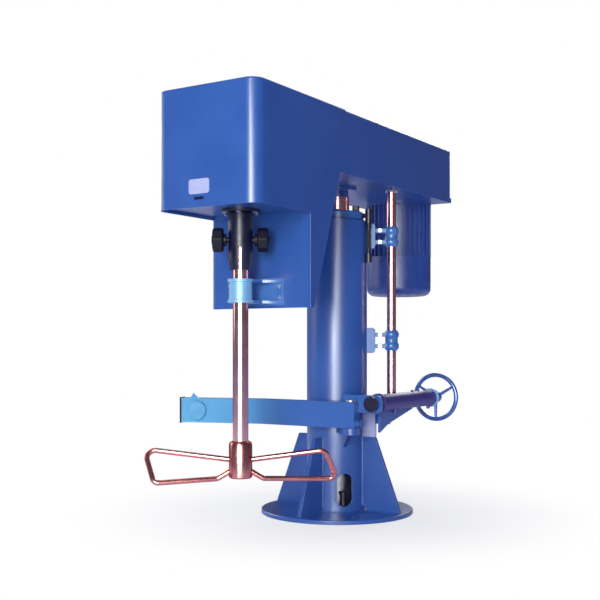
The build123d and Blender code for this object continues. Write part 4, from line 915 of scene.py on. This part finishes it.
@dataclass
class ScrewUnit(Assembly):
    """Clamp screw in its tube, with the nose nut in front and the handwheel behind."""

    nodes: ClassVar[Dressing] = {
        "screw_tube": (DARK_ENAMEL, 1.0),
        "screw_tube_flange": (PALE_ENAMEL, 1.0),
        "screw_bushes": (BRONZE, 0.4),
        "screw_support_plate": (ENAMEL, 1.2),
        "clamp_lug": (PALE_PLATE, 1.0),
        "clamp_screw": (LEVEL_STEEL, 0.4),
        "nose_nut": (BLACKED, 1.2),
    }
    rim_radius: float = 11.0 * MILLIMETRE
    rim_flatness: float = 0.94
    rim_setback: float = 18.0 * MILLIMETRE
    rim_sides: int = 20
    rim_steps: int = 96
    hub_radius: float = 28.0 * MILLIMETRE
    hub_steps: int = 48
    nose_share: float = 0.72
    neck_share: float = 0.80
    nose_chamfer: float = 3.0 * MILLIMETRE
    shoulder_start: float = -16.0 * MILLIMETRE
    shoulder_end: float = -11.0 * MILLIMETRE
    rear_chamfer: float = 4.0 * MILLIMETRE
    spokes: Triple = (30.0, 150.0, 270.0)
    spoke_root: float = 8.8 * MILLIMETRE
    spoke_tip: float = 6.6 * MILLIMETRE
    spoke_start: float = 0.7
    spoke_inset: float = 4.0 * MILLIMETRE
    spoke_sides: int = 20
    cast_crease: float = 50.0
    washer_land: float = 9.0 * MILLIMETRE
    washer_thick: float = 2.0 * MILLIMETRE
    washer_steps: int = 48
    nut_land: float = 7.0 * MILLIMETRE
    nut_sides: int = 6
    nut_chamfer: float = 1.2 * MILLIMETRE
    nut_segments: int = 2
    screw_point: float = 3.0 * MILLIMETRE

    def build(self) -> None:
        """Dress the screw and its tube, cast the wheel and hold it with a nut."""
        super().build()
        self.wheel()
        self.hub_nut()

    def wheel(self) -> None:
        """Cast wheel: round rim, three tapered spokes and a stepped hub."""
        low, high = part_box("handwheel")
        major = (high.x - low.x) / 2 - self.rim_radius
        centre = Vector(((low.x + high.x) / 2, high.y - self.rim_setback, (low.z + high.z) / 2))
        rim = ring_profile(major, self.rim_radius, self.rim_flatness * self.rim_radius, self.rim_sides)
        made = turned(rim, centre, REARWARD, self.rim_steps)
        hub = self.hub_profile(low.y - centre.y, high.y - centre.y)
        merge_into(made, turned(hub, centre, REARWARD, self.hub_steps))
        for angle in self.spokes:
            out = Vector((cos(radians(angle)), 0, sin(radians(angle))))
            root = centre + out * self.hub_radius * self.spoke_start
            tip = centre + out * (major - self.spoke_inset)
            merge_into(made, rod_between(root, tip, self.spoke_root, self.spoke_tip, self.spoke_sides))
        register("handwheel_cast", made, WHEEL_BLUE, "handwheel", ("handwheel",), self.cast_crease)

    def hub_profile(self, front: float, rear: float) -> list[Pair]:
        """Outline of the wheel's hub, from the bore outwards.

        Args:
            front: Where the hub starts along the axis.
            rear: Where it ends.

        Returns:
            The outline's (radius, distance along the axis) points.
        """
        screw_low, screw_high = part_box("clamp_screw")
        bore = (screw_high.x - screw_low.x) / 2
        neck = self.hub_radius * self.neck_share
        return [
            (bore, front),
            (self.hub_radius * self.nose_share, front),
            (neck, front + self.nose_chamfer),
            (neck, self.shoulder_start),
            (self.hub_radius, self.shoulder_end),
            (self.hub_radius, rear - self.rear_chamfer),
            (self.hub_radius - self.rear_chamfer, rear),
            (bore, rear),
        ]

    def hub_nut(self) -> None:
        """Hold the wheel on the screw's end with a washer and a hexagon nut."""
        low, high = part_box("clamp_screw")
        hub_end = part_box("handwheel")[1].y
        radius = (high.x - low.x) / 2
        seat = Vector(((low.x + high.x) / 2, hub_end, (low.z + high.z) / 2))
        rim = radius + self.washer_land
        washer = [(radius, 0.0), (rim, 0.0), (rim, self.washer_thick), (radius, self.washer_thick)]
        made = turned(washer, seat, REARWARD, self.washer_steps)
        start = seat + REARWARD * self.washer_thick
        end = Vector((seat.x, high.y - self.screw_point, seat.z))
        nut = rod_between(start, end, radius + self.nut_land, radius + self.nut_land, self.nut_sides)
        rims = [edge for edge in nut.edges if abs(heading(edge).y) < ALIGNED]
        round_edges(nut, rims, self.nut_chamfer, self.nut_segments)
        merge_into(made, nut)
        register("wheel_nut", made, LEVEL_STEEL, "handwheel")


@dataclass
class ClampArm(Assembly):
    """Kinked arm with its tail, end plate, pad and pivot."""

    nodes: ClassVar[Dressing] = {
        "clamp_arm": (ARM_ENAMEL, 1.5),
        "arm_end_plate": (BLACKED, 1.0),
        "clamp_pad": (PAD_FACE, 2.0),
        "arm_pivot_bracket": (ENAMEL, 1.5),
        "arm_pivot_pin": (BRIGHT, 1.0),
    }


# ---------------------------------------------------------------- stage
@dataclass(frozen=True)
class SoftBox:
    """A rectangular lamp: where it stands, what it faces, its size and its watts.

    A lamp for reflections only shows as a sheen and gives no light of its own to the surfaces.
    """

    name: str
    place: Triple
    target: Triple
    size: Pair
    power: float
    reflections_only: bool = False


@dataclass
class Stage:
    """Pale floor, soft lights, world and camera."""

    floor_size: float = 60.0
    floor_drop: float = 0.5 * MILLIMETRE
    floor_paint: Triple = (0.9, 0.9, 0.9)
    floor_roughness: float = 0.9
    shadow_reach: Pair = (0.40, 1.35)
    near_share: float = 0.68
    ambient: Triple = (0.15, 0.17, 0.36)
    reflected: Triple = (0.10, 0.085, 0.10)
    backdrop: Triple = (1.0, 1.0, 1.0)
    lamp_tint: Triple = (1.0, 1.0, 0.90)
    lamps: tuple[SoftBox, ...] = (
        SoftBox("key", (2.5, -7.0, 2.1), (0.0, -0.2, 1.1), (1.7, 3.9), 365.0),
        SoftBox("sheen", (3.3, -6.7, 1.3), (0.0, -0.2, 1.0), (3.8, 3.6), 330.0, reflections_only=True),
        SoftBox("fill", (-5.0, -2.2, 2.2), (0.0, -0.2, 1.0), (2.4, 2.4), 34.0),
        SoftBox("left", (-5.2, 1.2, 3.2), (0.0, 0.2, 1.2), (2.0, 2.4), 90.0),
        SoftBox("rear", (-1.5, 6.2, 4.0), (0.0, 0.2, 1.2), (2.4, 2.4), 130.0),
        SoftBox("top", (-0.6, -0.6, 5.0), (0.0, 0.0, 1.0), (3.2, 3.2), 20.0),
    )
    camera_place: Triple = (2.4773, -4.2074, 0.8364)
    bearing: float = 32.617
    lens: float = 59.67
    rise: float = 0.0679

    def build(self) -> None:
        """Set the floor, the world, the lamps and the camera."""
        self.floor()
        self.world()
        for box in self.lamps:
            self.lamp(box)
        self.camera()

    def floor(self) -> None:
        """Lay the pale floor."""
        made = bmesh.new()
        bmesh.ops.create_grid(made, x_segments=1, y_segments=1, size=self.floor_size / 2)
        bmesh.ops.translate(made, vec=(0, 0, -self.floor_drop), verts=made.verts)
        mesh = bpy.data.meshes.new("floor")
        made.to_mesh(mesh)
        made.free()
        mesh.materials.append(self.floor_material())
        floor = bpy.data.objects.new("floor", mesh)
        bpy.context.scene.collection.objects.link(floor)

    def floor_material(self) -> bpy.types.Material:
        """Matt paint that turns pure white for the camera away from the object's shadow.

        Returns:
            The floor's material.
        """
        paint = bpy.data.materials.new("pale_floor")
        paint.use_nodes = True
        tree = paint.node_tree
        shader = tree.nodes["Principled BSDF"]
        shader.inputs["Base Color"].default_value = (*self.floor_paint, 1.0)
        shader.inputs["Roughness"].default_value = self.floor_roughness
        glow = tree.nodes.new("ShaderNodeEmission")
        glow.inputs["Color"].default_value = (*self.backdrop, 1.0)
        path = tree.nodes.new("ShaderNodeLightPath")
        share = tree.nodes.new("ShaderNodeMath")
        share.operation = "MULTIPLY"
        tree.links.new(path.outputs["Is Camera Ray"], share.inputs[0])
        tree.links.new(self.distance_share(tree), share.inputs[1])
        blend = tree.nodes.new("ShaderNodeMixShader")
        tree.links.new(share.outputs["Value"], blend.inputs["Fac"])
        tree.links.new(shader.outputs["BSDF"], blend.inputs[1])
        tree.links.new(glow.outputs["Emission"], blend.inputs[2])
        tree.links.new(blend.outputs["Shader"], tree.nodes["Material Output"].inputs["Surface"])
        return paint

    def distance_share(self, tree: Tree) -> Socket:
        """Share of white light in the floor, which grows with the distance from the object.

        Args:
            tree: The floor's nodes.

        Returns:
            The share.
        """
        coordinates = tree.nodes.new("ShaderNodeTexCoord")
        length = tree.nodes.new("ShaderNodeVectorMath")
        length.operation = "LENGTH"
        tree.links.new(coordinates.outputs["Object"], length.inputs[0])
        return spread_over(
            tree, length.outputs["Value"], self.shadow_reach, (self.near_share, 1.0), smooth=True
        )

    def world(self) -> None:
        """Give soft blue light all round, a dim room to reflections and white to the camera."""
        world = bpy.data.worlds.new("studio")
        bpy.context.scene.world = world
        world.use_nodes = True
        tree = world.node_tree
        background = tree.nodes["Background"]
        background.inputs["Strength"].default_value = 1.0
        path = tree.nodes.new("ShaderNodeLightPath")
        room = blended(tree, path.outputs["Is Glossy Ray"], self.ambient, self.reflected)
        seen = blended(tree, path.outputs["Is Camera Ray"], room, self.backdrop)
        tree.links.new(seen, background.inputs["Color"])

    def lamp(self, box: SoftBox) -> None:
        """Set up one soft box.

        Args:
            box: The lamp.
        """
        data = bpy.data.lights.new(box.name, "AREA")
        data.shape = "RECTANGLE"
        data.size, data.size_y = box.size
        data.energy = box.power
        data.color = self.lamp_tint
        lamp = bpy.data.objects.new(box.name, data)
        lamp.location = box.place
        lamp.rotation_euler = (Vector(box.target) - Vector(box.place)).to_track_quat("-Z", "Y").to_euler()
        lamp.visible_diffuse = not box.reflections_only
        bpy.context.scene.collection.objects.link(lamp)

    def camera(self) -> None:
        """Stand the camera level, at the working view."""
        data = bpy.data.cameras.new("camera")
        data.lens = self.lens
        data.shift_y = self.rise
        camera = bpy.data.objects.new("camera", data)
        camera.location = self.camera_place
        camera.rotation_euler = (pi / 2, 0.0, radians(self.bearing))
        bpy.context.scene.collection.objects.link(camera)
        bpy.context.scene.camera = camera


def main() -> None:
    """Build the stage and every sub-assembly."""
    logging.basicConfig(level=logging.INFO, format="%(name)s: %(message)s")
    bpy.context.scene.view_settings.view_transform = "Standard"
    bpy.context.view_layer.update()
    Stage().build()
    assemblies: tuple[Assembly, ...] = (
        FloorStand(), LiftColumn(), HydraulicLine(), Head(), SpindleLine(), SteadyBearing(),
        MotorUnit(), GuideRod(), ScrewUnit(), ClampArm(),
    )
    for assembly in assemblies:
        assembly.build()


if __name__ == "__main__":
    main()
